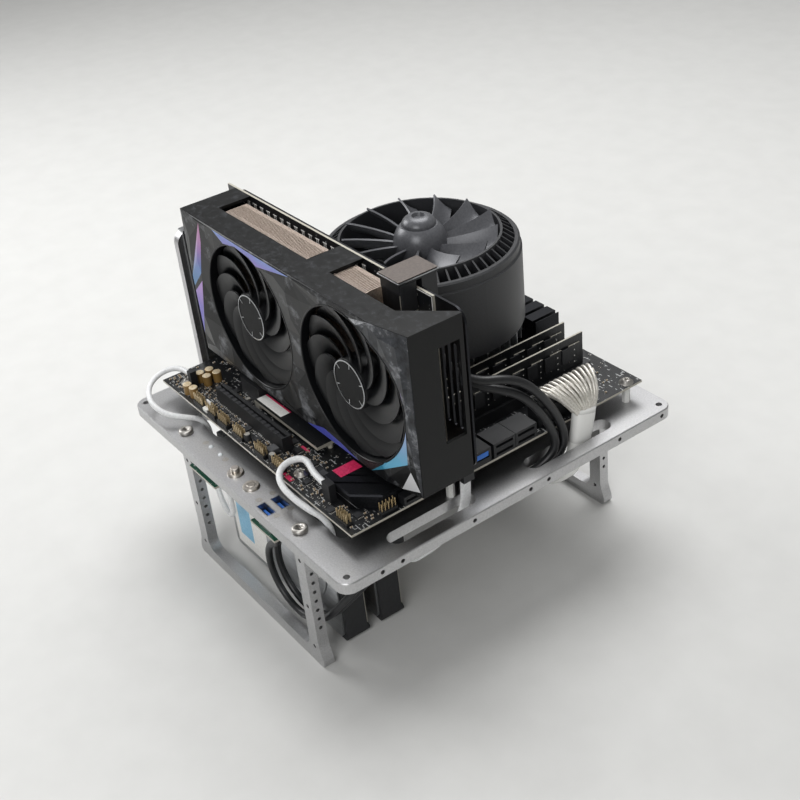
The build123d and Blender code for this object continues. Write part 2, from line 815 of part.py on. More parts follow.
# Chipset heatsink: flat block with one corner cut off and shallow grooves
with BuildPart() as chipset_heatsink:
    with BuildSketch(Plane.XY.offset(board_top + air_gap)):
        with Locations((chipset_x, chipset_y)):
            Rectangle(chipset_size, chipset_size)
    extrude(amount=chipset_height)
    corner = chipset_heatsink.edges().filter_by(Axis.Z).sort_by(Axis((0, 0, 0), (1, -1, 0)))[-1]
    chamfer(corner, chipset_cut)
    chamfer(chipset_heatsink.faces().sort_by(Axis.Z)[-1].edges(), chipset_groove / 2)
    with BuildSketch(Plane.XY.offset(board_top + air_gap + chipset_height)):
        with Locations((chipset_x, chipset_y)):
            with GridLocations(1, chipset_size / 4, 1, 3):
                Rectangle(chipset_size, chipset_groove, rotation=45)
    extrude(amount=-chipset_groove / 2, mode=Mode.SUBTRACT)
save(chipset_heatsink.part, "chipset_heatsink")

# Regulator heatsinks behind and beside the processor, with milled grooves
with BuildPart() as regulator_heatsinks:
    with BuildSketch(Plane.XY.offset(board_top + air_gap)):
        with Locations((back_regulator_x, board_back - regulator_width / 2 - 2)):
            Rectangle(back_regulator_length, regulator_width)
        with Locations((board_left + rear_port_depth + regulator_width / 2 + 1, side_regulator_y)):
            Rectangle(regulator_width, side_regulator_length)
    extrude(amount=regulator_height)
    with BuildSketch(Plane.XY.offset(board_top + air_gap + regulator_height)):
        with Locations((back_regulator_x, board_back - regulator_width / 2 - 2)):
            with GridLocations(fin_groove * 4, 1, 7, 1):
                Rectangle(fin_groove, regulator_width)
        with Locations((board_left + rear_port_depth + regulator_width / 2 + 1, side_regulator_y)):
            with GridLocations(1, fin_groove * 4, 1, 6):
                Rectangle(regulator_width, fin_groove)
    extrude(amount=-regulator_height / 2, mode=Mode.SUBTRACT)
save(regulator_heatsinks.part, "regulator_heatsinks")

# Storage stick: a small board on its socket and stud
with BuildPart() as storage_stick:
    with BuildSketch(Plane.XY.offset(board_top + stick_height)):
        with Locations((stick_x, stick_y)):
            Rectangle(stick_length, stick_width)
    extrude(amount=stick_thickness)
    with BuildSketch(Plane.XY.offset(board_top)):
        with Locations((stick_x - stick_length / 2 + 3, stick_y)):
            Rectangle(6, stick_width)
        with Locations((stick_x + stick_length / 2 - 2, stick_y)):
            Circle(2)
    extrude(amount=stick_height)
save(storage_stick.part, "storage_stick")

# Rear port stacks: metal blocks with shallow mouths towards -X
with BuildPart() as rear_port_stacks:
    with BuildSketch(Plane.XY.offset(board_top)):
        with Locations([(board_left - rear_port_overhang + rear_port_depth / 2, y) for y in rear_port_ys]):
            Rectangle(rear_port_depth, rear_port_width)
    extrude(amount=rear_port_height)
    with BuildSketch(Plane.YZ.offset(board_left - rear_port_overhang)):
        with Locations([(y, board_top + rear_port_height / 2) for y in rear_port_ys]):
            with GridLocations(1, rear_port_height / 3, 1, 3):
                Rectangle(rear_port_width - 3, 3.6)
    extrude(amount=sata_mouth, mode=Mode.SUBTRACT)
save(rear_port_stacks.part, "rear_port_stacks")

# Processor in its socket
with BuildPart() as processor_socket:
    with BuildSketch(Plane.XY.offset(board_top)):
        with Locations((processor_x, processor_y)):
            Rectangle(socket_width, socket_length)
            Rectangle(processor_width + 2 * slip_gap, processor_length + 2 * slip_gap, mode=Mode.SUBTRACT)
    extrude(amount=socket_height)
save(processor_socket.part, "processor_socket")

with BuildPart() as processor:
    with BuildSketch(Plane.XY.offset(board_top)):
        with Locations((processor_x, processor_y)):
            Rectangle(processor_width, processor_length)
    extrude(amount=processor_height)
    chamfer(processor.faces().sort_by(Axis.Z)[-1].edges(), button_wall)
save(processor.part, "processor")

# Cooler base: contact block, cross arms and four bolts down to the board
base_bottom = board_top + processor_height
base_top = base_bottom + cooler_base_height
with BuildPart() as cooler_base:
    with BuildSketch(Plane.XY.offset(base_bottom)):
        with Locations((processor_x, processor_y)):
            Circle(cooler_base_diameter / 2)
    extrude(amount=cooler_base_height)
    with BuildSketch(Plane.XY.offset(base_bottom)):
        with Locations((processor_x, processor_y)):
            Rectangle(cooler_arm_span * math.sqrt(2), cooler_arm_width, rotation=45)
            Rectangle(cooler_arm_span * math.sqrt(2), cooler_arm_width, rotation=-45)
    extrude(amount=cooler_arm_thickness)
    bolt_reach = cooler_arm_span - cooler_arm_width
    with BuildSketch(Plane.XY.offset(board_top)):
        with Locations((processor_x, processor_y)):
            with GridLocations(bolt_reach, bolt_reach, 2, 2):
                Circle(cooler_bolt_diameter / 2)
    extrude(amount=processor_height + 2 * cooler_arm_thickness)
save(cooler_base.part, "cooler_base")

# Cooler fins: radial fins around a round core
fin_reach = cooler_outer_diameter / 2 - cooler_wall - slip_gap
with BuildPart() as cooler_fins:
    with BuildSketch(Plane.XY.offset(base_top)):
        with Locations((processor_x, processor_y)):
            Circle(cooler_core_diameter / 2)
            with PolarLocations(fin_reach / 2, cooler_fin_count):
                Rectangle(fin_reach, cooler_fin_thickness)
    extrude(amount=cooler_fin_top - base_top)
save(cooler_fins.part, "cooler_fins")

# Cooler housing: a round wall with a stepped lip, and slats that slope up to a ring round the blades
cooler_ring_diameter = cooler_outer_diameter - 2 * cooler_ring_gap
ring_top = cooler_rim + cooler_ring_rise
ring_bottom = ring_top - cooler_ring_height
slat_inner = cooler_ring_diameter / 2 + cooler_ring_wall / 2
slat_outer = cooler_outer_diameter / 2 - 1.5 * cooler_wall
slat_low = cooler_rim - cooler_slat_drop
with BuildPart() as cooler_slat:
    with BuildSketch(Plane.XZ):
        with BuildLine():
            Polyline(
                (slat_inner, ring_top - cooler_slat_height),
                (slat_outer, slat_low - cooler_slat_height),
                (slat_outer, slat_low),
                (slat_inner, ring_top - button_wall / 2),
                close=True,
            )
        make_face()
    extrude(amount=cooler_slat_thickness / 2, both=True)
wall_radius = processor_x + cooler_outer_diameter / 2
with BuildPart() as cooler_housing:
    with BuildSketch(Plane.XZ.offset(-processor_y)):
        with BuildLine():
            Polyline(
                (wall_radius - cooler_wall, cooler_bottom),
                (wall_radius, cooler_bottom),
                (wall_radius, cooler_rim - cooler_lip_depth),
                (wall_radius - cooler_wall / 2, cooler_rim - cooler_lip_depth + 1),
                (wall_radius - cooler_wall / 2, cooler_rim - 1),
                (wall_radius - cooler_wall, cooler_rim),
                (wall_radius - 2 * cooler_wall, cooler_rim),
                (wall_radius - 2 * cooler_wall, cooler_rim - cooler_lip_step),
                (wall_radius - cooler_wall, cooler_rim - 2 * cooler_lip_depth),
                close=True,
            )
        make_face()
        with BuildLine():
            Polyline(
                (processor_x + cooler_ring_diameter / 2, ring_bottom),
                (processor_x + cooler_ring_diameter / 2 + cooler_ring_wall, ring_bottom),
                (processor_x + cooler_ring_diameter / 2 + cooler_ring_wall, ring_top),
                (processor_x + cooler_ring_diameter / 2, ring_top),
                close=True,
            )
        make_face()
    revolve(axis=Axis((processor_x, processor_y, 0), (0, 0, 1)))
    with Locations((processor_x, processor_y, 0)):
        with PolarLocations(0, cooler_slat_count):
            add(cooler_slat.part)
save(cooler_housing.part, "cooler_housing")

# Cooler motor: a drum on the fin core with the pin that carries the impeller
with BuildPart() as cooler_motor:
    with Locations((processor_x, processor_y, cooler_fin_top)):
        Cylinder(
            cooler_motor_diameter / 2,
            impeller_bottom - cooler_fin_top - air_gap,
            align=(Align.CENTER, Align.CENTER, Align.MIN),
        )
        Cylinder(
            cooler_pin_diameter / 2,
            impeller_bottom - cooler_fin_top + impeller_hub_height / 2,
            align=(Align.CENTER, Align.CENTER, Align.MIN),
        )
save(cooler_motor.part, "cooler_motor")

# One impeller blade: a twisted plate from the hub to just inside the slotted ring
hub_radius = impeller_hub_diameter / 2
tip_radius = cooler_ring_diameter / 2 - impeller_tip_gap
with BuildPart() as impeller_blade:
    for radius, chord, pitch, height, lead in (
        (hub_radius - 2, 17, 62, 12, 0),
        ((hub_radius + tip_radius) / 2, 25, 46, 14, 8),
        (tip_radius, 33, 33, 16, 20),
    ):
        turn = math.radians(lead)
        radial = (math.cos(turn), math.sin(turn), 0)
        around = (-math.sin(turn), math.cos(turn), 0)
        place = (radius * radial[0], radius * radial[1], height)
        with BuildSketch(Plane(origin=place, x_dir=around, z_dir=radial)):
            Rectangle(chord, impeller_blade_thickness, rotation=pitch)
    loft(ruled=True)

# Cooler impeller: a stepped dome with swept blades that stand a little above the rim
with BuildPart(Plane((processor_x, processor_y, impeller_bottom))) as cooler_impeller:
    with PolarLocations(0, impeller_blade_count):
        add(impeller_blade.part)
    with BuildSketch(Plane((processor_x, processor_y, impeller_bottom), x_dir=(1, 0, 0), z_dir=(0, -1, 0))):
        with BuildLine():
            shoulder = (hub_radius, impeller_hub_height * 0.42)
            step = (hub_radius * 0.68, impeller_hub_height * 0.83)
            ledge = (hub_radius * 0.62, impeller_hub_height * 0.87)
            crown = (hub_radius * 0.32, impeller_hub_height)
            Polyline((0, 0), (hub_radius, 0), shoulder)
            ThreePointArc(shoulder, (hub_radius * 0.9, impeller_hub_height * 0.67), step)
            Polyline(step, (hub_radius * 0.62, impeller_hub_height * 0.83), ledge)
            ThreePointArc(ledge, (hub_radius * 0.5, impeller_hub_height * 0.955), crown)
            Polyline(
                crown,
                (hub_radius * 0.24, impeller_hub_height),
                (hub_radius * 0.2, impeller_hub_height * 0.94),
                (0, impeller_hub_height * 0.94),
                (0, 0),
            )
        make_face()
    revolve(axis=Axis((processor_x, processor_y, 0), (0, 0, 1)))
    with Locations((0, 0, 0)):
        Cylinder(
            cooler_pin_diameter / 2 + running_gap,
            impeller_hub_height / 2 + air_gap,
            align=(Align.CENTER, Align.CENTER, Align.MIN),
            mode=Mode.SUBTRACT,
        )
save(cooler_impeller.part, "cooler_impeller")

# Graphics card circuit board with its edge tab, the notch at the power socket and the socket itself
card_board_y = slot_1_y - card_board_thickness / 2
card_board_bottom = board_top + slot_height + card_edge_start
card_edge_bottom = board_top + slot_height - slot_key_depth
card_edge_left = slot_left + card_edge_start
card_socket_bottom = card_top - card_notch_depth - card_edge_start
with BuildPart() as card_circuit_board:
    with BuildSketch(Plane.XZ.offset(-card_board_y)):
        with BuildLine():
            Polyline(
                (card_board_left, card_board_bottom),
                (card_edge_left, card_board_bottom),
                (card_edge_left, card_edge_bottom),
                (card_edge_left + card_edge_length, card_edge_bottom),
                (card_edge_left + card_edge_length, card_board_bottom),
                (card_board_right, card_board_bottom),
                (card_board_right, card_top),
                (card_notch_right, card_top),
                (card_notch_right, card_top - card_notch_depth),
                (card_notch_left, card_top - card_notch_depth),
                (card_notch_left, card_top),
                (card_board_left, card_top),
                close=True,
            )
        make_face()
    extrude(amount=-card_board_thickness)
    with BuildSketch(Plane.XZ.offset(-card_board_y)):
        with Locations((card_socket_x, card_socket_bottom + card_socket_height / 2)):
            Rectangle(card_socket_length, card_socket_height)
    extrude(amount=card_socket_depth)
save(card_circuit_board.part, "card_circuit_board")

# Card heatsink: two combs of upright fins on one base, cut away around the power socket
heatsink_back = card_board_y - card_die_height
heatsink_base_y = heatsink_back - fin_base
fin_front = heatsink_base_y - fin_depth
card_fin_bottom = card_bottom + card_wall + air_gap
card_fin_top = card_top - fin_set_back
stack_right = second_stack_left + second_stack_fins * fin_pitch
card_middle = (card_bottom + card_top) / 2
with BuildPart() as card_heatsink:
    with BuildSketch(Plane.XY.offset(card_fin_bottom)):
        with Locations(((first_stack_left + stack_right) / 2, heatsink_base_y + fin_base / 2)):
            Rectangle(stack_right - first_stack_left, fin_base)
        for left, count in ((first_stack_left, first_stack_fins), (second_stack_left, second_stack_fins)):
            with Locations((left + count * fin_pitch / 2, heatsink_base_y - fin_depth / 2)):
                with GridLocations(fin_pitch, 1, count, 1):
                    Rectangle(fin_thickness, fin_depth)
    extrude(amount=card_fin_top - card_fin_bottom)
    with BuildSketch(Plane.XZ.offset(-heatsink_back)):
        with Locations((processor_x, card_middle)):
            Rectangle(card_die_size, card_die_size)
    extrude(amount=-card_die_height)
    with BuildSketch(Plane.XY.offset(card_socket_bottom - air_gap)):
        with Locations((card_socket_x, card_board_y - card_socket_depth / 2)):
            Rectangle(card_socket_length + 2 * air_gap, card_socket_depth + 2 * air_gap)
    extrude(amount=card_socket_height, mode=Mode.SUBTRACT)
save(card_heatsink.part, "card_heatsink")

# Card shroud: a shell open towards the heatsink, with two fan openings, windows over the fins
# and a spider behind each opening that carries the fan motor
card_x = (card_left + card_right) / 2
fan_xs = (fan_1_x, fan_1_x + fan_pitch)
shroud_back = card_board_y
spider_front = fin_front - 1 - spider_thickness
window_depth = shroud_back - card_front - card_strip_depth
with BuildPart() as card_shroud:
    with BuildSketch(Plane.XY.offset(card_bottom)):
        with BuildLine():
            Polyline(
                (card_left, card_front),
                (card_right - card_end_cut, card_front),
                (card_right, card_front + card_end_set_back),
                (card_right, shroud_back),
                (card_left, shroud_back),
                close=True,
            )
        make_face()
    extrude(amount=card_top - card_bottom)
    with BuildSketch(Plane.XY.offset(card_bottom + card_wall)):
        with BuildLine():
            Polyline(
                (card_left + card_wall, card_front + card_wall),
                (card_right - card_end_cut, card_front + card_wall),
                (card_right - card_wall, card_front + card_end_set_back + card_wall),
                (card_right - card_wall, shroud_back),
                (card_left + card_wall, shroud_back),
                close=True,
            )
        make_face()
    extrude(amount=card_top - card_bottom - 2 * card_wall, mode=Mode.SUBTRACT)
    with BuildSketch(Plane.XZ.offset(-card_front)):
        with Locations([(x, card_middle) for x in fan_xs]):
            Circle(fan_opening_diameter / 2)
    extrude(amount=-(card_end_set_back + 2 * card_wall), mode=Mode.SUBTRACT)
    with BuildSketch(Plane.XY.offset(card_bottom)):
        with BuildLine():
            Polyline(
                (card_window_left, shroud_back - window_depth),
                (card_window_right, shroud_back - window_depth),
                (card_right - card_wall, shroud_back),
                (card_window_left, shroud_back),
                close=True,
            )
        make_face()
    extrude(amount=card_top - card_bottom, mode=Mode.SUBTRACT)
    with BuildSketch(Plane.XY.offset(card_top)):
        with Locations((card_bridge_x, shroud_back - window_depth / 2)):
            Rectangle(card_bridge_width, window_depth)
    extrude(amount=-card_bridge_thickness)
    end_front = card_front + card_end_strip
    end_back = shroud_back - card_end_back
    end_low = card_bottom + card_end_low
    end_high = card_top - card_end_high
    with BuildSketch(Plane.YZ.offset(card_right)):
        with Locations(((end_front + end_back) / 2, (end_low + end_high) / 2)):
            Rectangle(end_back - end_front, end_high - end_low)
    extrude(amount=-2 * card_wall, mode=Mode.SUBTRACT)
    with BuildSketch(Plane.XZ.offset(-spider_front)):
        with Locations([(x, card_middle) for x in fan_xs]):
            Circle(fan_motor_diameter / 2)
            Rectangle(2 * spider_post_reach, spider_arm_width, rotation=45)
            Rectangle(2 * spider_post_reach, spider_arm_width, rotation=-45)
    extrude(amount=-spider_thickness)
    with BuildSketch(Plane.XZ.offset(-spider_front)):
        with Locations([(x, card_middle) for x in fan_xs]):
            with PolarLocations(spider_post_reach, 4, start_angle=45):
                Circle(spider_arm_width / 2)
    extrude(amount=spider_front - card_front - card_wall + slip_gap)
save(card_shroud.part, "card_shroud")

# Card backplate with a row of vents at its free end
with BuildPart() as card_backplate:
    with BuildSketch(Plane.XZ.offset(-card_board_y - card_board_thickness)):
        with Locations((card_x, card_middle)):
            RectangleRounded(card_right - card_left, card_top - card_bottom, backplate_corner)
        with Locations((card_right - backplate_vent_inset, card_middle)):
            with GridLocations(backplate_vent_pitch, 1, backplate_vent_count, 1):
                SlotOverall(backplate_vent_length, backplate_vent_width, rotation=90, mode=Mode.SUBTRACT)
    extrude(amount=-backplate_thickness)
save(card_backplate.part, "card_backplate")

# Card support frame: an upright U frame at the plate's back edge
support_top = plate_top + support_height
bracket_x = card_board_left - card_bracket_gap - bracket_thickness
support_y = support_front + support_width / 2
with BuildPart() as card_support_frame:
    with BuildSketch(Plane.YZ.offset(bracket_x - support_thickness)):
        with Locations((support_y, plate_top + support_height / 2)):
            Rectangle(support_width, support_height)
        with Locations((support_y, plate_top + (support_height - support_bar) / 2)):
            Rectangle(support_width - 2 * support_bar, support_height - support_bar, mode=Mode.SUBTRACT)
    extrude(amount=support_thickness)
    cross_edges = card_support_frame.edges().filter_by(Axis.X).group_by(Axis.Z)
    fillet(cross_edges[-1], support_radius)
    fillet(cross_edges[-2], support_radius / 2)
save(card_support_frame.part, "card_support_frame")

# Card bracket: a slotted strip with a tab folded over the support frame and two ears on the card
bracket_back = card_board_y
bracket_y = bracket_back - bracket_width / 2
with BuildPart() as card_bracket:
    with BuildSketch(Plane.YZ.offset(bracket_x)):
        with Locations((bracket_y, (bracket_bottom + support_top + bracket_thickness) / 2)):
            Rectangle(bracket_width, support_top + bracket_thickness - bracket_bottom)
        with Locations([(bracket_back - bracket_width + bracket_port_inset, z) for z in bracket_port_heights]):
            Rectangle(bracket_port_width, bracket_port_length, mode=Mode.SUBTRACT)
    extrude(amount=bracket_thickness)
    with BuildSketch(Plane.XY.offset(support_top)):
        with Locations((bracket_x - support_thickness / 2, bracket_y)):
            Rectangle(support_thickness, bracket_width)
    extrude(amount=bracket_thickness)
    with BuildSketch(Plane.XZ.offset(-bracket_back)):
        with Locations([(bracket_x + bracket_ear / 2, z) for z in bracket_ear_heights]):
            Rectangle(bracket_ear, bracket_ear)
    extrude(amount=bracket_thickness)
save(card_bracket.part, "card_bracket")

# Card fan motors: drums on the spiders, each with the pin its fan turns on
with BuildPart() as card_fan_motors:
    with BuildSketch(Plane.XZ.offset(-spider_front)):
        with Locations([(x, card_middle) for x in fan_xs]):
            Circle(fan_motor_diameter / 2)
    extrude(amount=fan_motor_thickness)
    with BuildSketch(Plane.XZ.offset(-spider_front + fan_motor_thickness)):
        with Locations([(x, card_middle) for x in fan_xs]):
            Circle(fan_pin_diameter / 2)
    extrude(amount=fan_pin_length)
save(card_fan_motors.part, "card_fan_motors")

# One card fan blade: a twisted, swept plate from the hub to just inside the opening
fan_hub_radius = fan_hub_diameter / 2
fan_tip_radius = fan_opening_diameter / 2 - fan_tip_gap
with BuildPart() as fan_blade:
    for radius, chord, pitch, height, lead in (
        (fan_hub_radius - 1, 14, 55, 7.5, 0),
        ((fan_hub_radius + fan_tip_radius) / 2, 20, 36, 7.2, 6),
        (fan_tip_radius, 24, 24, 7, 18),
    ):
        turn = math.radians(lead)
        radial = (math.cos(turn), math.sin(turn), 0)
        around = (-math.sin(turn), math.cos(turn), 0)
        place = (radius * radial[0], radius * radial[1], height)
        with BuildSketch(Plane(origin=place, x_dir=around, z_dir=radial)):
            Rectangle(chord, fan_blade_thickness, rotation=pitch)
    loft(ruled=True)

# Card fans: a cup over the motor with a boss for the pin, and the ring of blades
hub_front = card_front + fan_front_inset
hub_back = hub_front + fan_hub_depth
boss_back = spider_front - fan_motor_thickness - air_gap
for number, x in enumerate(fan_xs, start=1):
    fan_plane = Plane(origin=(x, hub_back, card_middle), x_dir=(1, 0, 0), z_dir=(0, -1, 0))
    with BuildPart(fan_plane) as card_fan:
        with PolarLocations(0, fan_blade_count):
            add(fan_blade.part)
        with BuildSketch(fan_plane):
            Circle(fan_hub_radius)
        extrude(amount=fan_hub_depth)
        fillet(card_fan.faces().sort_by(Axis.Y)[0].edges(), fan_hub_wall)
        with BuildSketch(fan_plane):
            Circle(fan_hub_radius - fan_hub_wall)
        extrude(amount=fan_hub_depth - fan_hub_wall, mode=Mode.SUBTRACT)
        with BuildSketch(fan_plane.offset(hub_back - boss_back)):
            Circle(fan_boss_diameter / 2)
        extrude(amount=boss_back - hub_front - fan_hub_wall)
        with BuildSketch(fan_plane.offset(hub_back - boss_back)):
            Circle(fan_pin_diameter / 2 + running_gap)
        extrude(amount=fan_pin_length, mode=Mode.SUBTRACT)
    save(card_fan.part, f"card_fan_{number}")

# Angled power adapter: a cap over the card's top edge, a plug in front of it and a tail behind it
adapter_cap_bottom = adapter_top - adapter_cap_thickness
socket_top = card_socket_bottom + card_socket_height
with BuildPart() as card_power_adapter:
    with BuildSketch(Plane.XY.offset(adapter_cap_bottom)):
        with Locations((card_socket_x, adapter_front + adapter_depth / 2)):
            Rectangle(adapter_length, adapter_depth)
    extrude(amount=adapter_cap_thickness)
    chamfer(card_power_adapter.faces().sort_by(Axis.Z)[-1].edges(), adapter_step)
    with BuildSketch(Plane.XY.offset(socket_top)):
        with Locations((card_socket_x, card_board_y - card_socket_depth / 2)):
            Rectangle(adapter_length - 2 * adapter_step, card_socket_depth)
    extrude(amount=adapter_cap_bottom - socket_top)
    with BuildSketch(Plane.XY.offset(adapter_tail_bottom)):
        with Locations((card_socket_x, adapter_front + adapter_depth - adapter_step - adapter_tail_depth / 2)):
            Rectangle(adapter_length - 2 * adapter_step, adapter_tail_depth)
    extrude(amount=adapter_cap_bottom - adapter_tail_bottom)
save(card_power_adapter.part, "card_power_adapter")

# Power supply under the plate: mains inlet towards -X, a grille below, cables towards +X
supply_bottom = plate_bottom - supply_height
supply_y = leg_ys[1] - leg_thickness / 2 - supply_leg_gap - supply_width / 2
supply_inlet_y = supply_y - supply_width / 2 + supply_inlet_inset
supply_right = supply_x + supply_length / 2
with BuildPart() as power_supply:
    with BuildSketch(Plane.XY.offset(supply_bottom)):
        with Locations((supply_x, supply_y)):
            Rectangle(supply_length, supply_width)
    extrude(amount=supply_height)
    chamfer(power_supply.faces().sort_by(Axis.Z)[0].edges(), supply_edge)
    with BuildSketch(Plane.XY.offset(supply_bottom)):
        with Locations((supply_x, supply_y)):
            Circle(supply_fan_diameter / 2)
    extrude(amount=supply_fan_recess, mode=Mode.SUBTRACT)
    with BuildSketch(Plane.XY.offset(supply_bottom)):
        with Locations((supply_x, supply_y)):
            for ring in range(supply_grille_rings):
                ring_radius = supply_fan_diameter / 2 - (ring + 0.5) * supply_grille_pitch
                Circle(ring_radius)
                Circle(ring_radius - supply_grille_bar, mode=Mode.SUBTRACT)
            Rectangle(supply_fan_diameter, supply_grille_bar, rotation=45)
            Rectangle(supply_fan_diameter, supply_grille_bar, rotation=-45)
    extrude(amount=supply_edge)
    with BuildSketch(Plane.YZ.offset(supply_x - supply_length / 2)):
        with Locations((supply_inlet_y, supply_bottom + supply_height / 2)):
            Rectangle(supply_inlet_width, supply_inlet_height)
    extrude(amount=supply_inlet_depth, mode=Mode.SUBTRACT)
save(power_supply.part, "power_supply")


def corner_radii(route):
    # tangent arcs that use most of the shorter run at each corner
    radii = []
    for a, b, c in zip(route, route[1:], route[2:]):
        run_in = Vector(*b) - Vector(*a)
        run_out = Vector(*c) - Vector(*b)
        half_turn = math.radians(run_in.get_angle(run_out)) / 2
        radii.append(0.45 * min(run_in.length, run_out.length) / math.tan(half_turn))
    return radii


# Cable routes
bundle_top = 134
bundle_route = (
    (122.4, 69.6, bundle_top),
    (122.4, 67.6, 122),
    (121.6, 64.8, 106),
    (118.5, 62.6, 90),
    (109, 61.5, 75),
    (93, 61.2, 65.5),
    (71, 61.5, 62),
    (40, 62.3, 65),
    (supply_right, 62.3, 65),
)
card_cable_route_1 = (
    (90.5, -26, adapter_tail_bottom),
    (90.5, -26, 220),
    (93, -23, 201),
    (99.5, -15, 187),
    (108, -4, 180.5),
    (115, 9, 180),
    (119.5, 22, 173.5),
    (122, 35, 157),
    (122.4, 47.5, 135),
    (122.3, 52, 117),
    (121.7, 47.5, 106.5),
    (118.5, 36, 98.5),
    (112, 25, 92.5),
    (99, 16, 86),
    (83, 12.5, 79.5),
    (64, 16, 74.5),
    (46, 26, 71.5),
    (29, 37.5, 70),
    (supply_right, 37.5, 70),
)
card_cable_route_2 = (
    (80.5, -26, adapter_tail_bottom),
    (80.5, -26, 219),
    (84, -22.5, 199),
    (92, -13.5, 183.5),
    (102, -3, 174),
    (111.5, 8, 171),
    (118, 19.6, 164.5),
    (121.5, 29.7, 151.3),
    (122.4, 39.5, 133),
    (122.3, 44.5, 118),
    (121.6, 40.5, 109),
    (119, 31, 102.5),
    (114.5, 19.5, 97),
    (103, 9.5, 92),
    (88, 4, 86.5),
    (70, 5, 81),
    (51, 12, 78),
    (29, 27.5, 76),
    (supply_right, 27.5, 76),
)
card_cable_routes = (card_cable_route_1, card_cable_route_2)
panel_board_bottom = panel_board_top - panel_board_thickness
usb_route = (
    (41, -127, panel_board_bottom),
    (41, -127, 84),
    (33, -126, 74),
    (20, -124.5, 65),
    (12, -123, 50),
    (11.5, -122, 33),
    (21, -121, 18.5),
    (38, -120, 12.5),
    (56, -119, 17.5),
    (73, -118, 30),
    (85, -116.5, 45),
    (93.5, -110.5, 58),
    (98, -101, 68),
    (100, -94, 79),
    (100, -94, plate_bottom - usb_plug_height),
)
usb_routes = (usb_route, tuple((x, y + usb_cable_offset, z) for x, y, z in usb_route))
lamp_route = (
    (lamp_plug_spot[0] - small_plug_width / 2, lamp_plug_spot[1], 134.5),
    (-117, lamp_plug_spot[1], 134.5),
    (-125.5, -110, 133.5),
    (-126, -122, 131),
    (-118.5, -132, 128),
    (-105.5, -136.5, 124.5),
    (-92, -133.5, 121),
    (-82.5, -123.5, 118),
    (-77.5, -112.5, 114),
    (-76, -108.6, 103),
    (-75.5, -110.5, 89),
    (-74, -113, 73),
    (-69, -115.3, 52),
    (-54.5, -117.3, 43),
    (-41, -119, 52),
    (-39.5, -120, 74),
    (-39.5, -120, panel_board_bottom),
)
switch_route = (
    (switch_plug_spot[0] - small_plug_length / 2, switch_plug_spot[1], 135.5),
    (61.5, switch_plug_spot[1], 135.5),
    (44, -98.8, 136.5),
    (36.5, -107, 135),
    (38.5, -117.5, 132.5),
    (49, -122.5, 129.5),
    (61, -121.5, 125.5),
    (71.5, -117.5, 120.5),
    (79, -112, 115.5),
    (82.8, -109.4, 105.5),
    (83.8, -111.2, 91),
    (82.5, -113.3, 73),
    (68, -116, 61),
    (54, -118.3, 68),
    (51, -119.5, 82),
    (51, -119.5, panel_board_bottom),
)
drive_route = (
    (121.6, drive_plug_y, drive_plug_bottom),
    (121.6, drive_plug_y, 118),
    (121.2, -33, 107),
    (119, -37, 96),
    (114, -44, 83.5),
    (107, -53, 71.5),
    (99, -62.8, far_plug_z + far_plug_height / 2),
    (drive_right + far_plug_depth, -62.8, far_plug_z + far_plug_height / 2),
)
cables = (
    ("main_power_cable", bundle_width, bundle_thickness, (bundle_route,)),
    ("card_power_cables", card_cable_diameter, card_cable_diameter, card_cable_routes),
    ("usb_cables", usb_cable_diameter, usb_cable_diameter, usb_routes),
    ("panel_light_cable", lamp_cable_diameter, lamp_cable_diameter, (lamp_route,)),
    ("panel_switch_cable", switch_cable_diameter, switch_cable_diameter, (switch_route,)),
    ("drive_data_cable", drive_cable_width, drive_cable_thickness, (drive_route,)),
)

# The wires spread from the bundle's top to the main power plug: centre, width along Y, depth, direction
px, py = power_socket_x, power_socket_y
wire_spread = (
    ((px, py, plug_top), plug_length - 4, plug_width - 1.5, (0, 0, 1)),
    ((px + 0.6, py, plug_top + 2.5), plug_length - 6, plug_width - 2.5, (0.25, 0, 1)),
    ((px + 6.5, py + 0.8, plug_top + 4.5), plug_length - 12, plug_width - 3, (1, 0, 0)),
    ((px + 14, py + 2.6, plug_top - 2), plug_length - 24, plug_width - 2.5, (0.3, 0, -1)),
    (bundle_route[0], bundle_width * 0.8, bundle_thickness * 0.7, (0, 0, -1)),
)
for label, width, thickness, routes in cables:
    with BuildPart() as cable:
        for route in routes:
            with BuildLine() as path:
                FilletPolyline(*route, radius=corner_radii(route))
            with BuildSketch(Plane(path.line @ 0, x_dir=(0, 1, 0), z_dir=path.line % 0)):
                if width > thickness:
                    SlotOverall(width, thickness)
                else:
                    Circle(width / 2)
            sweep(path=path.line)
            bend = min(corner_radii(route))
            length = sum(edge.length for edge in path.edges())
            print(label, "length", round(length, 1), "tightest bend", round(bend, 1))
        if label == "main_power_cable":
            for place, width, depth, heading in wire_spread:
                with BuildSketch(Plane(origin=place, x_dir=(0, 1, 0), z_dir=heading)):
                    Rectangle(width, depth)
            loft(ruled=True)
        print(label, "volume", round(cable.part.volume))
    save(cable.part, label)

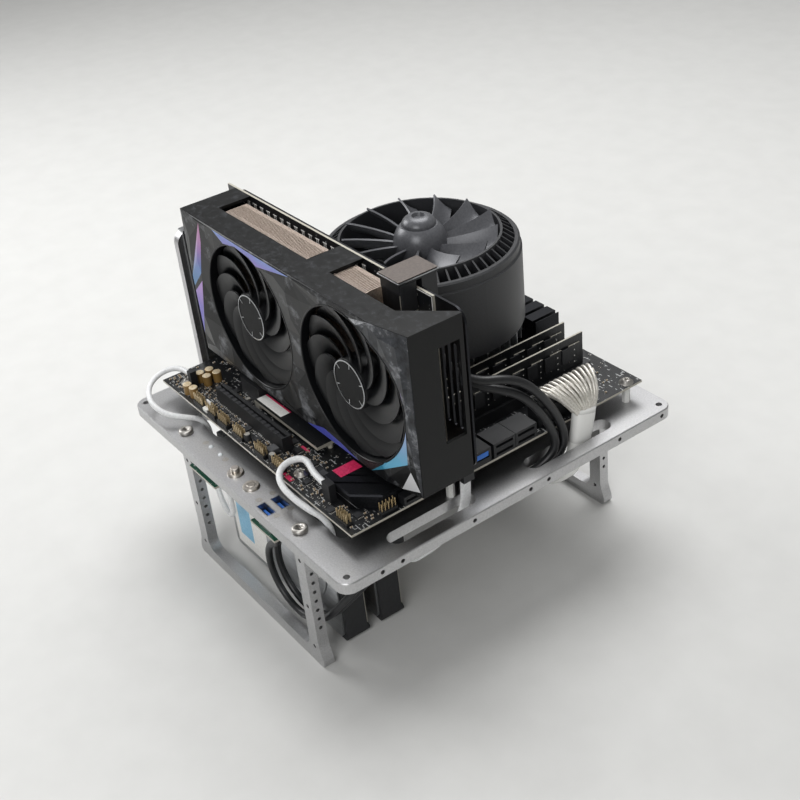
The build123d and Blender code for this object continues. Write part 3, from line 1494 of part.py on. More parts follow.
# Plugs on the cables: under the plate, board edge, drive end and the two small panel plugs
drive_2_back = drive_fronts[1] + drive_thickness
with BuildPart() as cable_plugs:
    with BuildSketch(Plane.XY.offset(plate_bottom)):
        with Locations(usb_plug_spot):
            Rectangle(usb_plug_width, usb_plug_length)
    extrude(amount=-usb_plug_height)
    with BuildSketch(Plane.YZ.offset(board_right)):
        with Locations((drive_plug_y, drive_plug_bottom + drive_plug_height / 2)):
            Rectangle(drive_plug_width, drive_plug_height)
    extrude(amount=drive_plug_depth)
    with BuildSketch(Plane.YZ.offset(drive_right)):
        with Locations((drive_2_back - far_plug_width / 2, far_plug_z + far_plug_height / 2)):
            Rectangle(far_plug_width, far_plug_height)
    extrude(amount=far_plug_depth)
    with BuildSketch(Plane.XY.offset(board_top)):
        with Locations(switch_plug_spot):
            Rectangle(small_plug_length, small_plug_width)
        with Locations(lamp_plug_spot):
            Rectangle(small_plug_width, small_plug_width)
    extrude(amount=small_plug_height)
save(cable_plugs.part, "cable_plugs")
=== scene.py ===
# %% [markdown]
# # Open air test bench
# A milled aluminium plate on two leg frames carries a computer that is left open to the air.
# The solids come from the CAD frame and keep their shapes. This lesson gives each one its
# finish, swaps the cables and fans for softer and finer pieces, and adds the small parts
# that a circuit board is covered with.

import bmesh
import bpy
import math
import random
from mathutils import Matrix, Vector
from mathutils.bvhtree import BVHTree
from mathutils.geometry import delaunay_2d_cdt


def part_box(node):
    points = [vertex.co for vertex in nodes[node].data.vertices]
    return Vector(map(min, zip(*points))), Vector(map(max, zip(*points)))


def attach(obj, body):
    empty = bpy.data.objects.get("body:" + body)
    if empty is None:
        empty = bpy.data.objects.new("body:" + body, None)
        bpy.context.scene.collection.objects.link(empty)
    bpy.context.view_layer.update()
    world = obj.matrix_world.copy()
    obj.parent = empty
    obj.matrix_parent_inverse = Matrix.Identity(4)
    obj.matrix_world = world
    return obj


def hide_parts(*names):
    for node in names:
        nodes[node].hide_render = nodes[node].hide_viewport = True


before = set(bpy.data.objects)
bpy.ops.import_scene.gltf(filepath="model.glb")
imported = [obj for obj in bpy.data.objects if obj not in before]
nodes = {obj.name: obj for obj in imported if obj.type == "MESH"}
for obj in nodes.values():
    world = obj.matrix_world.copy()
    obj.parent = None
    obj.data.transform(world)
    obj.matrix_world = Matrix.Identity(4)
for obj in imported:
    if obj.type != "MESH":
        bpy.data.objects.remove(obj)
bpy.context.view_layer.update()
scene = bpy.context.scene
MM = 0.001

# %% [markdown]
# ## Camera
# The bench is seen from above its front right corner. The camera stands where the corners of
# the plate, the board and the card fall on their places in the picture, so its three axes
# are written as directions and put straight into its matrix, with a slight roll.

# %% Camera
EYE = Vector((639.34, -410.28, 608.35)) * MM
RIGHT = Vector((0.59333, 0.79948, -0.09376))
DOWN = Vector((0.39370, -0.38981, -0.83249))
AHEAD = Vector((-0.70211, 0.45704, -0.54604))

camera_data = bpy.data.cameras.new("bench_camera")
camera_data.lens = 57.486
camera_data.sensor_width = 36
camera = bpy.data.objects.new("bench_camera", camera_data)
camera.matrix_world = Matrix.Translation(EYE) @ Matrix((RIGHT, -DOWN, -AHEAD)).transposed().to_4x4()
scene.collection.objects.link(camera)
scene.camera = camera
print("camera at", [round(v, 3) for v in EYE], "lens", camera_data.lens)

# %% [markdown]
# ## Helpers for finishes
# Colours are written as sRGB hex values, as a painter reads them off a chart, and one function
# turns them to the linear values that shaders use. Another adds a node with its settings and
# links. A pattern's scale comes from its real size: so many grains fit in a metre.

# %% Colour and node helpers
def linear(hex_colour):
    """The linear colour of an sRGB hex value."""
    parts = [int(hex_colour[i:i + 2], 16) / 255 for i in (1, 3, 5)]
    return tuple(p / 12.92 if p <= 0.04045 else ((p + 0.055) / 1.055) ** 2.4 for p in parts) + (1,)


def add(tree, kind, settings=None):
    """Adds one node. A setting is a property, a socket's value, ramp stops or a socket to link from."""
    node = tree.nodes.new(kind)
    for key, value in (settings or {}).items():
        if key == "stops":
            elements = node.color_ramp.elements
            while len(elements) < len(value):
                elements.new(1)
            for stop, (place, colour) in zip(elements, value):
                stop.position, stop.color = place, linear(colour)
        elif isinstance(value, bpy.types.NodeSocket):
            tree.links.new(value, node.inputs[key])
        elif isinstance(key, int) or key in node.inputs:
            node.inputs[key].default_value = value
        else:
            setattr(node, key, value)
    return node


print("colour and node helpers ready")

# %% [markdown]
# Most finishes share two steps: a shader with its constants, and a grain that breaks them up.
# One noise drives the colour, the gloss and a shallow relief together, as on a real surface,
# where a pit is darker and duller too.

# %% Material helpers
def per_mm(size):
    """The texture scale at which one cell is that many millimetres wide."""
    return 1 / (size * MM)


def start(name, colour, roughness, metallic=0.0, **extra):
    """A new material with its constants on the shader's own sockets."""
    material = bpy.data.materials.new(name)
    material.use_nodes = True
    tree = material.node_tree
    shader = tree.nodes["Principled BSDF"]
    values = {"Base Color": linear(colour), "Roughness": roughness, "Metallic": metallic}
    values.update({key.replace("_", " "): value for key, value in extra.items()})
    for socket, value in values.items():
        shader.inputs[socket].default_value = value
    return material, tree, shader, add(tree, "ShaderNodeTexCoord").outputs["Object"]


def dress(made, **sources):
    """Links sockets to the shader's inputs of those names, and returns the material."""
    material, tree, shader, _ = made
    for name, source in sources.items():
        tree.links.new(source, shader.inputs[name.replace("_", " ")])
    return material


def grain(made, size, dark, pale, rough, depth, stretch=(1, 1, 1)):
    """Breaks up a finish: noise of that grain size shifts colour and gloss and lifts the surface."""
    _, tree, _, place = made
    laid = add(tree, "ShaderNodeMapping", {"Scale": stretch, "Vector": place}).outputs["Vector"]
    fac = add(tree, "ShaderNodeTexNoise", {"Scale": per_mm(size), "Detail": 3, "Vector": laid}).outputs["Fac"]
    shade = add(tree, "ShaderNodeValToRGB", {"stops": [(0.3, dark), (0.7, pale)], "Fac": fac})
    gloss = add(tree, "ShaderNodeMapRange", {"To Min": rough[0], "To Max": rough[1], "Value": fac})
    bump = add(tree, "ShaderNodeBump", {"Strength": 0.6, "Distance": depth * MM, "Height": fac})
    return dress(made, Base_Color=shade.outputs["Color"], Roughness=gloss.outputs["Result"],
                 Normal=bump.outputs["Normal"])


print("material helpers ready")

# %% [markdown]
# ## Metals
# The plate and legs are aluminium, bead blasted and then clear anodised: a fine even grit that
# scatters light softly. Screws are turned stainless steel, buttons are bright nickel, and the
# drive covers are pressed sheet with the faint lines of the rolling mill. The real grit is
# about 0.2 mm, too fine to show, so it is drawn at about 1 mm.

# %% Metal finishes
# soft, even silver without a clear reflection
aluminium = grain(start("anodised_aluminium_bead_blasted", "#BDBDBE", 0.4, 1.0),
                  1.1, "#B5B5B6", "#C6C6C7", (0.34, 0.46), 0.03)
# warm grey with a broad highlight on each head
steel = grain(start("stainless_steel_turned", "#B8B5B0", 0.38, 1.0),
              0.8, "#AEABA6", "#C4C1BC", (0.32, 0.44), 0.01)
# brighter and warmer than the plate, so the buttons stand out
nickel = grain(start("satin_nickel_plate", "#C6C0B7", 0.3, 1.0),
               2.5, "#BFB9B0", "#CDC8C0", (0.26, 0.36), 0.004)
# long faint lines across a cool sheet
rolled_steel = grain(start("rolled_steel_sheet", "#B4B6B8", 0.34, 1.0),
                     0.7, "#A6A8AA", "#BEC0C2", (0.26, 0.44), 0.015, stretch=(0.04, 1, 1))
# thin metal that looks a little stained
port_steel = grain(start("tinned_steel_folded", "#A9ABAD", 0.32, 1.0),
                   1.4, "#9C9EA0", "#B6B8BA", (0.24, 0.4), 0.02)
# upright streaks as drawn through a die
fin_aluminium = grain(start("extruded_aluminium", "#B9BBBD", 0.36, 1.0),
                      0.9, "#A8AAAC", "#C6C8CA", (0.28, 0.44), 0.02, stretch=(1, 1, 0.08))
# dull rosy brown between the dark walls of the shroud
copper_fins = grain(start("oxidised_copper_sheet", "#B5A698", 0.46, 0.8),
                    1.2, "#A5958A", "#C6B8AC", (0.38, 0.56), 0.02)
# deep black that still shows its edges as metal
black_aluminium = grain(start("black_anodised_aluminium", "#232427", 0.4, 0.85),
                        1.0, "#1D1E21", "#2C2D31", (0.34, 0.5), 0.03)
# the brightest metal, hidden under the cooler
chrome_lid = grain(start("nickel_plated_copper_lid", "#B9B7B2", 0.3, 1.0),
                   1.2, "#AEACA7", "#C3C1BC", (0.24, 0.36), 0.02)
# small warm glints on the pins
gold = grain(start("gold_flashed_brass", "#C2A878", 0.34, 0.75),
             0.6, "#B0966A", "#D2BC92", (0.28, 0.42), 0.01)
# thick paint with a slow, uneven sheen
black_casting = grain(start("black_painted_casting", "#1D1E20", 0.42, IOR=1.5),
                      2.2, "#18191B", "#242528", (0.36, 0.52), 0.03)
print("metals:", 11)

# %% [markdown]
# ## Plastics, rubber and paint
# Moulded parts carry a spark eroded texture of about 0.3 mm, drawn here a little coarser.
# Nylon sockets are dull, the cooler is a satin charcoal, cable jackets are satin rubber.

# %% Plastic finishes
# dull black that lets sockets recede
nylon = grain(start("glass_filled_nylon_moulded", "#17181A", 0.5, IOR=1.53),
              0.8, "#131416", "#1D1E21", (0.42, 0.6), 0.03)
# dark grey with a long soft highlight down the round housing
charcoal = grain(start("charcoal_abs_moulded", "#28292C", 0.46, IOR=1.54),
                 0.9, "#242528", "#2E2F32", (0.4, 0.54), 0.03)
# paler grey, so each blade shows against the dark well
grey_blade = grain(start("grey_abs_satin", "#5C5D61", 0.34, 0.25, IOR=1.54),
                   1.4, "#56575B", "#646569", (0.28, 0.42), 0.01)
# near black, with thin highlights along the blades' edges
fan_black = grain(start("black_pbt_satin", "#0E0F11", 0.34, IOR=1.55, Specular_IOR_Level=0.2),
                  1.2, "#0C0D0F", "#121315", (0.28, 0.4), 0.01)
# the darkest field, which sets off the bright ring around it
hub_black = grain(start("black_abs_satin_disc", "#08090A", 0.55, IOR=1.54, Specular_IOR_Level=0.15),
                  3.0, "#060708", "#0C0D0E", (0.5, 0.62), 0.005)
# a clear blue spot in the sockets
blue_plastic = grain(start("blue_nylon_moulded", "#2A73D6", 0.4, IOR=1.53),
                     0.7, "#2368C8", "#3580E2", (0.34, 0.48), 0.02)
# a bright bead with a wet highlight
clear_plastic = grain(start("clear_polycarbonate_pipe", "#E4E8EC", 0.18, IOR=1.585, Coat_Weight=0.4),
                      1.0, "#DADFE4", "#F0F3F6", (0.12, 0.26), 0.01)
# milky white, slightly dull
white_nylon = grain(start("white_nylon_moulded", "#E6E6E2", 0.44, IOR=1.53),
                    0.8, "#DCDCD8", "#EFEFEC", (0.38, 0.52), 0.03)
# a soft line of light along each black cable
rubber = grain(start("black_pvc_jacket", "#121315", 0.42, IOR=1.53),
               1.5, "#0E0F11", "#191A1D", (0.34, 0.5), 0.04)
# clean cool white that leads the eye along the loops
white_jacket = grain(start("white_pvc_jacket", "#E4E5E6", 0.4, IOR=1.53),
                     1.6, "#DADBDC", "#EEEFEF", (0.34, 0.48), 0.04)
# pebbled black without gloss
powder_coat = grain(start("black_powder_coat", "#1C1D1F", 0.6, IOR=1.5),
                    1.3, "#17181A", "#242528", (0.52, 0.7), 0.08)
# flat warm white, for blank labels and ink
paper = grain(start("white_paper_label", "#F0EFEB", 0.6, IOR=1.5),
              1.8, "#E8E7E2", "#F6F5F2", (0.52, 0.66), 0.01)
# the one loud colour on the black board
red_lacquer = grain(start("pink_red_lacquer", "#D52C5C", 0.3, IOR=1.5),
                    1.5, "#C5244F", "#E23B6B", (0.24, 0.36), 0.01)
# sandy specks among the black parts
tan_ceramic = grain(start("tan_ceramic_chip", "#A08A6C", 0.5, IOR=1.6),
                    0.6, "#8E795E", "#B29A7A", (0.42, 0.58), 0.02)
# pale metal, between white and silver
tin = grain(start("tinned_copper_wire", "#D2CEC6", 0.32, 0.5),
            1.2, "#BFBBB2", "#E2DFD8", (0.26, 0.42), 0.02)
# light sky blue on the drive's label
pale_blue = grain(start("pale_blue_printed_film", "#8CC3E0", 0.4, IOR=1.5),
                  2.0, "#7FB8D8", "#9BCDE8", (0.34, 0.46), 0.01)
# matt black, a shade paler than the board
chip_black = grain(start("black_epoxy_package", "#222326", 0.52, IOR=1.55),
                   0.7, "#1D1E21", "#292A2D", (0.46, 0.6), 0.02)
# stony mid grey
grey_ferrite = grain(start("grey_ferrite_pressed", "#4A4B4D", 0.56, IOR=1.6),
                     0.7, "#424345", "#535456", (0.5, 0.64), 0.05)
# brownish grey top of the power adapter
brown_board = grain(start("brown_epoxy_cap", "#5A514C", 0.42, IOR=1.55),
                    1.4, "#504843", "#655B55", (0.36, 0.5), 0.02)
print("plastics:", 19)

# %% [markdown]
# ## Circuit boards
# A board is glass cloth in epoxy under a glossy solder mask. The copper below it shows as
# slightly raised lines, and white ink marks the places of parts. Bricks with thin mortar make
# a fair maze of tracks, and a second, larger set of bricks, broken up by noise, makes the ink.

# %% Circuit board finish
CUT_EDGE = "#B4B0A4"
BLACK, GREY, WHITE = (0, 0, 0, 1), (0.25, 0.25, 0.25, 1), (1, 1, 1, 1)


def circuit_board(name, mask, track, ink, amount, flat="Z"):
    """Solder mask over copper tracks 0.5 mm wide, with broken white ink lines and bare cut edges.

    amount is the ink's cover, and flat is the axis that the board's two faces look along.
    """
    made = start(name, mask, 0.34, IOR=1.55)
    _, tree, _, place = made
    shared = {"Vector": place, "Color1": BLACK, "Mortar": WHITE}
    tracks = add(tree, "ShaderNodeTexBrick", {
        **shared, "Color2": GREY, "Scale": per_mm(7), "Mortar Size": 0.05, "Mortar Smooth": 0.2,
        "Brick Width": 0.9, "Row Height": 0.21}).outputs["Color"]
    lines = add(tree, "ShaderNodeTexBrick", {
        **shared, "Color2": BLACK, "Scale": per_mm(9), "Mortar Size": 0.03, "Mortar Smooth": 0.0,
        "Brick Width": 0.6, "Row Height": 0.3, "offset": 0.37}).outputs["Color"]
    field = add(tree, "ShaderNodeValToRGB", {"stops": [(0.1, mask), (0.9, track)], "Fac": tracks})
    breaks = add(tree, "ShaderNodeTexNoise", {"Scale": per_mm(4), "Detail": 3, "Vector": place})
    cover = add(tree, "ShaderNodeMath", {"operation": "LESS_THAN", 0: breaks.outputs["Fac"], 1: amount})
    inked = add(tree, "ShaderNodeMath", {"operation": "MULTIPLY", 0: lines, 1: cover.outputs["Value"]})
    colour = add(tree, "ShaderNodeMix", {"data_type": "RGBA", 0: inked.outputs["Value"],
                                         6: field.outputs["Color"], 7: linear(ink)})
    normal = add(tree, "ShaderNodeNewGeometry").outputs["True Normal"]
    looks = add(tree, "ShaderNodeSeparateXYZ", {"Vector": normal}).outputs[flat]
    level = add(tree, "ShaderNodeMath", {"operation": "ABSOLUTE", 0: looks}).outputs["Value"]
    edge = add(tree, "ShaderNodeMath", {"operation": "LESS_THAN", 0: level, 1: 0.5}).outputs["Value"]
    cut = add(tree, "ShaderNodeMix", {"data_type": "RGBA", 0: edge, 6: colour.outputs[2],
                                      7: linear(CUT_EDGE)})
    bump = add(tree, "ShaderNodeBump", {"Strength": 0.5, "Distance": 0.05 * MM, "Height": tracks})
    return dress(made, Base_Color=cut.outputs[2], Normal=bump.outputs["Normal"])


# glossy black with a faint maze and white ticks of ink; the card and the modules have less ink
black_board = circuit_board("black_solder_mask_board", "#0F1012", "#191B1E", "#B9BBBB", 0.42)
card_board = circuit_board("black_solder_mask_card", "#101113", "#1A1C1F", "#B9BBBB", 0.36, "Y")
memory_board = circuit_board("black_solder_mask_memory", "#121315", "#1C1E21", "#8C8E8E", 0.3, "X")
stick_board = circuit_board("black_solder_mask_stick", "#121315", "#1C1E21", "#8C8E8E", 0.3)
# the familiar dark green, seen only under the plate
green_board = circuit_board("green_solder_mask_board", "#1B4A3A", "#27604B", "#C9D2CB", 0.4)
print("boards:", 5)

# %% [markdown]
# ## Pin headers and capacitors
# A pin header is a black nylon strip with gold flashed pins pressed through it, and an audio
# capacitor is a dark gold can with a bare top. The top is painted pale, partly for its bare metal
# and partly as a painted highlight where the light falls on it. Each CAD part holds both, so one
# finish tells them apart by height.

# %% Finishes in two levels
def two_level(name, low, dark, pale, level, metal):
    """One finish below a height in millimetres, and a metal that varies from dark to pale above it."""
    made = start(name, low, 0.36, IOR=1.53)
    _, tree, _, place = made
    height = add(tree, "ShaderNodeSeparateXYZ", {"Vector": place}).outputs["Z"]
    above = add(tree, "ShaderNodeMath", {"operation": "GREATER_THAN", 0: height,
                                         1: level * MM}).outputs["Value"]
    specks = add(tree, "ShaderNodeTexNoise", {"Scale": per_mm(1.2), "Detail": 2, "Vector": place})
    shade = add(tree, "ShaderNodeValToRGB", {"stops": [(0.3, dark), (0.7, pale)],
                                             "Fac": specks.outputs["Fac"]})
    colour = add(tree, "ShaderNodeMix", {"data_type": "RGBA", 0: above, 6: linear(low),
                                         7: shade.outputs["Color"]})
    share = add(tree, "ShaderNodeMath", {"operation": "MULTIPLY", 0: above, 1: metal})
    return dress(made, Base_Color=colour.outputs[2], Metallic=share.outputs["Value"])


# a black strip with a comb of warm pins
header = two_level("black_nylon_with_gold_pins", "#141517", "#A8926C", "#D2BF98", 128.2, 0.7)
# dark gold cans with pale lids, partly their bare metal and partly a painted highlight
capacitor = two_level("gold_sleeve_with_bare_top", "#8A6C3C", "#D8BE90", "#EFE2C8", 133.2, 0.4)
print("finishes in two levels:", 2)

# %% [markdown]
# ## Smoky shroud and colour shift film
# The card's shroud is a smoky grey moulding with paler clouds and fine scuffs. Its small
# facets carry a film that turns from pink through violet to teal. Real film changes with the
# eye; here the colours are laid across each facet by place, so they hold from any side.

# %% Shroud finishes
PLAIN_BLACK, NEVER = "#090A0B", 1000
WARP, SWAY = 12 * MM, 16 * MM


def smoky(name, dark, mid, pale, cloud, plain_end=NEVER):
    """A clouded moulding: warped noise in three greys, with fine scratches that catch the light.

    From plain_end millimetres along X onwards it is plain black.
    """
    made = start(name, mid, 0.34, IOR=1.56, Specular_IOR_Level=0.22)
    _, tree, _, place = made
    warp = add(tree, "ShaderNodeTexNoise", {"Scale": per_mm(cloud * 1.6), "Detail": 2, "Vector": place})
    bent = add(tree, "ShaderNodeVectorMath", {"operation": "MULTIPLY_ADD", 0: warp.outputs["Color"],
                                              1: (WARP, WARP, WARP), 2: place})
    clouds = add(tree, "ShaderNodeTexNoise", {"Scale": per_mm(cloud), "Detail": 7, "Roughness": 0.66,
                                              "Vector": bent.outputs["Vector"]}).outputs["Fac"]
    shade = add(tree, "ShaderNodeValToRGB", {"stops": [(0.34, dark), (0.54, mid), (0.72, pale)],
                                             "Fac": clouds})
    along = add(tree, "ShaderNodeSeparateXYZ", {"Vector": place}).outputs["X"]
    at_end = add(tree, "ShaderNodeMath", {"operation": "GREATER_THAN", 0: along, 1: plain_end * MM})
    colour = add(tree, "ShaderNodeMix", {"data_type": "RGBA", 0: at_end.outputs["Value"],
                                         6: shade.outputs["Color"], 7: linear(PLAIN_BLACK)})
    laid = add(tree, "ShaderNodeMapping", {"Rotation": (0.3, 0.6, 0.2), "Scale": (0.1, 1, 1),
                                           "Vector": place})
    scuffs = add(tree, "ShaderNodeTexNoise", {"Scale": per_mm(1.1), "Detail": 2,
                                              "Vector": laid.outputs["Vector"]})
    gloss = add(tree, "ShaderNodeMapRange", {"To Min": 0.22, "To Max": 0.52, "Value": clouds})
    bump = add(tree, "ShaderNodeBump", {"Strength": 0.4, "Distance": 0.04 * MM,
                                        "Height": scuffs.outputs["Fac"]})
    return dress(made, Base_Color=colour.outputs[2], Roughness=gloss.outputs["Result"],
                 Normal=bump.outputs["Normal"])


def film(name, low, high, stops):
    """Colour shift film: a ramp laid over the card's height, from low to high in millimetres."""
    made = start(name, stops[0][1], 0.3, 0.2, Coat_Weight=0.15, Coat_Roughness=0.2)
    _, tree, _, place = made
    height = add(tree, "ShaderNodeSeparateXYZ", {"Vector": place}).outputs["Z"]
    ripple = add(tree, "ShaderNodeTexNoise", {"Scale": per_mm(22), "Detail": 2, "Vector": place})
    sway = add(tree, "ShaderNodeMath", {"operation": "MULTIPLY_ADD", 0: ripple.outputs["Fac"],
                                        1: SWAY, 2: height})
    span = add(tree, "ShaderNodeMapRange", {"From Min": low * MM, "From Max": high * MM,
                                            "Value": sway.outputs["Value"]})
    shade = add(tree, "ShaderNodeValToRGB", {"stops": stops, "Fac": span.outputs["Result"]})
    return dress(made, Base_Color=shade.outputs["Color"])


# deep black with grey clouds, like smoke behind glass
shroud_smoke = smoky("smoky_polycarbonate_moulded", "#060708", "#101113", "#7A7C80", 18)
# finer specks on the top and the sides, plain at the end cap
shroud_top = smoky("speckled_abs_moulded", "#08090A", "#0F1011", "#34363A", 5, plain_end=136.2)
# a paler copy of the smoke, as painted light on the corner where the facets turn to the light
shroud_painted_light = smoky("smoky_polycarbonate_pale", "#1A1B1D", "#3A3C40", "#A2A4A8", 12)
# quiet silver beside the coloured fields
silver_film = film("silver_grey_film", 144, 162, [(0, "#B9BBBE"), (1, "#DADBDD")])
# colours that run from teal and blue below to violet and pink above
tall_film = film("violet_teal_film_tall", 198, 262,
                 [(0, "#1F6F96"), (0.35, "#4F78B4"), (0.62, "#9A78B6"), (1, "#D08CAE")])
low_film = film("violet_blue_film_low", 150, 214, [(0, "#4A54B4"), (0.6, "#6F62BE"), (1, "#B084C6")])
top_film = film("blue_violet_film_top", 248, 266, [(0, "#A070BC"), (0.45, "#7674BE"), (1, "#6C90C8")])
end_film = film("pale_lilac_cyan_film", 150, 224,
                [(0, "#2F95B8"), (0.3, "#5FA9CB"), (0.55, "#94A8D0"), (1, "#B4A2CC")])
print("shroud finishes:", 8)

# %% [markdown]
# ## Sleeve of the main power cable
# The bundle is bound with white tape: flat wraps a few millimetres wide that step over each
# other. The wraps run across the cable, so they are bands along its height with soft edges.

# %% Tape finish
WRAP_WIDTH, WAVE_TURN = 11, 6.28
# matt white with soft steps, so the bundle reads as wrapped
tape_made = start("white_cloth_tape_wrapped", "#E6E6E3", 0.58, IOR=1.5)
_, tape_tree, _, tape_place = tape_made
tilted = add(tape_tree, "ShaderNodeMapping", {"Rotation": (0.25, 0.1, 0), "Vector": tape_place})
wraps = add(tape_tree, "ShaderNodeTexWave", {
    "bands_direction": "Z", "wave_profile": "SAW", "Scale": per_mm(WRAP_WIDTH) / WAVE_TURN, "Distortion": 0.6,
    "Vector": tilted.outputs["Vector"]}).outputs["Fac"]
cloth = add(tape_tree, "ShaderNodeTexNoise", {"Scale": per_mm(0.9), "Detail": 3, "Vector": tape_place})
tape_height = add(tape_tree, "ShaderNodeMath", {"operation": "MULTIPLY_ADD", 0: cloth.outputs["Fac"],
                                                1: 0.3, 2: wraps})
tape_shade = add(tape_tree, "ShaderNodeValToRGB", {
    "stops": [(0, "#D2D2CF"), (0.12, "#E6E6E3"), (1, "#EFEFEC")], "Fac": wraps})
tape_bump = add(tape_tree, "ShaderNodeBump", {"Strength": 0.5, "Distance": 0.25 * MM,
                                              "Height": tape_height.outputs["Value"]})
tape = dress(tape_made, Base_Color=tape_shade.outputs["Color"], Normal=tape_bump.outputs["Normal"])
print("tape finish ready")

# %% [markdown]
# ## Cables
# A cable is a smooth curve, not a bent pipe, so each one is a spline whose control points are
# the route that the CAD tube follows. Round jackets take a round bevel. The flat sleeve and
# the flat drive cable need a section that keeps its wide side along Y, so they are swept as
# meshes along points that are read back from such a spline.

# %% Cable routes in millimetres
SUPPLY_FACE = 10
BUNDLE_ROUTE = (
    (122.4, 69.6, 134), (122.4, 67.6, 122), (121.6, 64.8, 106), (118.5, 62.6, 90), (109, 61.5, 75),
    (93, 61.2, 65.5), (71, 61.5, 62), (40, 62.3, 65), (SUPPLY_FACE, 62.3, 65),
)
CARD_ROUTE_1 = (
    (90.5, -26, 238), (90.5, -26, 220), (93, -23, 201), (99.5, -15, 187), (108, -4, 180.5), (115, 9, 180),
    (119.5, 22, 173.5), (122, 35, 157), (122.4, 47.5, 135), (122.3, 52, 117), (121.7, 47.5, 106.5),
    (118.5, 36, 98.5), (112, 25, 92.5), (99, 16, 86), (83, 12.5, 79.5), (64, 16, 74.5), (46, 26, 71.5),
    (29, 37.5, 70), (SUPPLY_FACE, 37.5, 70),
)
CARD_ROUTE_2 = (
    (80.5, -26, 238), (80.5, -26, 219), (84, -22.5, 199), (92, -13.5, 183.5), (102, -3, 174),
    (111.5, 8, 171), (118, 19.6, 164.5), (121.5, 29.7, 151.3), (122.4, 39.5, 133), (122.3, 44.5, 118),
    (121.6, 40.5, 109), (119, 31, 102.5), (114.5, 19.5, 97), (103, 9.5, 92), (88, 4, 86.5), (70, 5, 81),
    (51, 12, 78), (29, 27.5, 76), (SUPPLY_FACE, 27.5, 76),
)
USB_ROUTE = (
    (41, -127, 94.9), (41, -127, 84), (33, -126, 74), (20, -124.5, 65), (12, -123, 50), (11.5, -122, 33),
    (21, -121, 18.5), (38, -120, 12.5), (56, -119, 17.5), (73, -118, 30), (85, -116.5, 45),
    (93.5, -110.5, 58), (98, -101, 68), (100, -94, 79), (100, -94, 92),
)
USB_OFFSET = 7
USB_ROUTE_2 = tuple((x, y + USB_OFFSET, z) for x, y, z in USB_ROUTE)
LIGHT_ROUTE = (
    (-105, -102.5, 134.5), (-117, -102.5, 134.5), (-125.5, -110, 133.5), (-126, -122, 131),
    (-118.5, -132, 128), (-105.5, -136.5, 124.5), (-92, -133.5, 121), (-82.5, -123.5, 118),
    (-77.5, -112.5, 114), (-76, -108.6, 103), (-75.5, -110.5, 89), (-74, -113, 73), (-69, -115.3, 52),
    (-54.5, -117.3, 43), (-41, -119, 52), (-39.5, -120, 74), (-39.5, -120, 94.9),
)
SWITCH_ROUTE = (
    (74, -104.5, 135.5), (61.5, -104.5, 135.5), (44, -98.8, 136.5), (36.5, -107, 135),
    (38.5, -117.5, 132.5), (49, -122.5, 129.5), (61, -121.5, 125.5), (71.5, -117.5, 120.5),
    (79, -112, 115.5), (82.8, -109.4, 105.5), (83.8, -111.2, 91), (82.5, -113.3, 73), (68, -116, 61),
    (54, -118.3, 68), (51, -119.5, 82), (51, -119.5, 94.9),
)
DRIVE_ROUTE = (
    (121.6, -31.6, 127.2), (121.6, -31.6, 118), (121.2, -33, 107), (119, -37, 96), (114, -44, 83.5),
    (107, -53, 71.5), (99, -62.8, 63), (84.5, -62.8, 63),
)
print("routes:", 8)

# %% Scene helpers
def put(name, data):
    """A new object in the scene."""
    thing = bpy.data.objects.new(name, data)
    scene.collection.objects.link(thing)
    return thing


def evaluated(thing):
    """The plain mesh that an object shows."""
    bpy.context.view_layer.update()
    return bpy.data.meshes.new_from_object(thing.evaluated_get(bpy.context.evaluated_depsgraph_get()))


def settle(thing, material, body="bench"):
    """Gives a finished piece its material and slot, and lets it ride on its body."""
    if material:
        thing.data.materials.clear()
        thing.data.materials.append(material)
    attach(thing, body)
    return thing


print("scene helpers ready")

# %% Cable helpers
def nurbs(name, routes, radius=0.0):
    """A curve with one smooth spline along each route's control points; radius 0 leaves it a bare line."""
    curve = bpy.data.curves.new(name, "CURVE")
    curve.dimensions = "3D"
    curve.resolution_u = 8
    curve.bevel_depth = radius * MM
    curve.bevel_resolution = 4
    curve.use_fill_caps = True
    for route in routes:
        spline = curve.splines.new("NURBS")
        spline.points.add(len(route) - 1)
        for point, place in zip(spline.points, route):
            point.co = (*(Vector(place) * MM), 1)
        spline.order_u = 3
        spline.use_endpoint_u = True
    return put(name, curve)


def line_points(route):
    """The points of a route's smooth spline, in metres, read from a curve with no bevel."""
    bare = nurbs("bare_line", [route])
    mesh = evaluated(bare)
    points = [vertex.co.copy() for vertex in mesh.vertices]
    bpy.data.objects.remove(bare)
    bpy.data.meshes.remove(mesh)
    return points


def length_of(points):
    return sum((b - a).length for a, b in zip(points, points[1:]))


SIDES, SQUARENESS = 20, 0.6


def flat_sweep(name, points, width, thickness):
    """A flat tube along points: each section keeps its wide side as near to Y as the line allows."""
    verts, faces = [], []
    for i, point in enumerate(points):
        ahead = (points[min(i + 1, len(points) - 1)] - points[max(i - 1, 0)]).normalized()
        across = (Vector((0, 1, 0)) - ahead * ahead.y).normalized()
        up = ahead.cross(across)
        for k in range(SIDES):
            c, s = math.cos(2 * math.pi * k / SIDES), math.sin(2 * math.pi * k / SIDES)
            side = math.copysign(abs(c) ** SQUARENESS, c) * width(i) / 2
            height = math.copysign(abs(s) ** SQUARENESS, s) * thickness(i) / 2
            verts.append(point + across * side * MM + up * height * MM)
    for i in range(len(points) - 1):
        for k in range(SIDES):
            a, b = i * SIDES + k, i * SIDES + (k + 1) % SIDES
            faces.append((a, b, b + SIDES, a + SIDES))
    faces.append(tuple(range(SIDES))[::-1])
    faces.append(tuple(range(len(verts) - SIDES, len(verts))))
    mesh = bpy.data.meshes.new(name)
    mesh.from_pydata(verts, [], faces)
    mesh.shade_smooth()
    return put(name, mesh)


print("cable helpers ready")

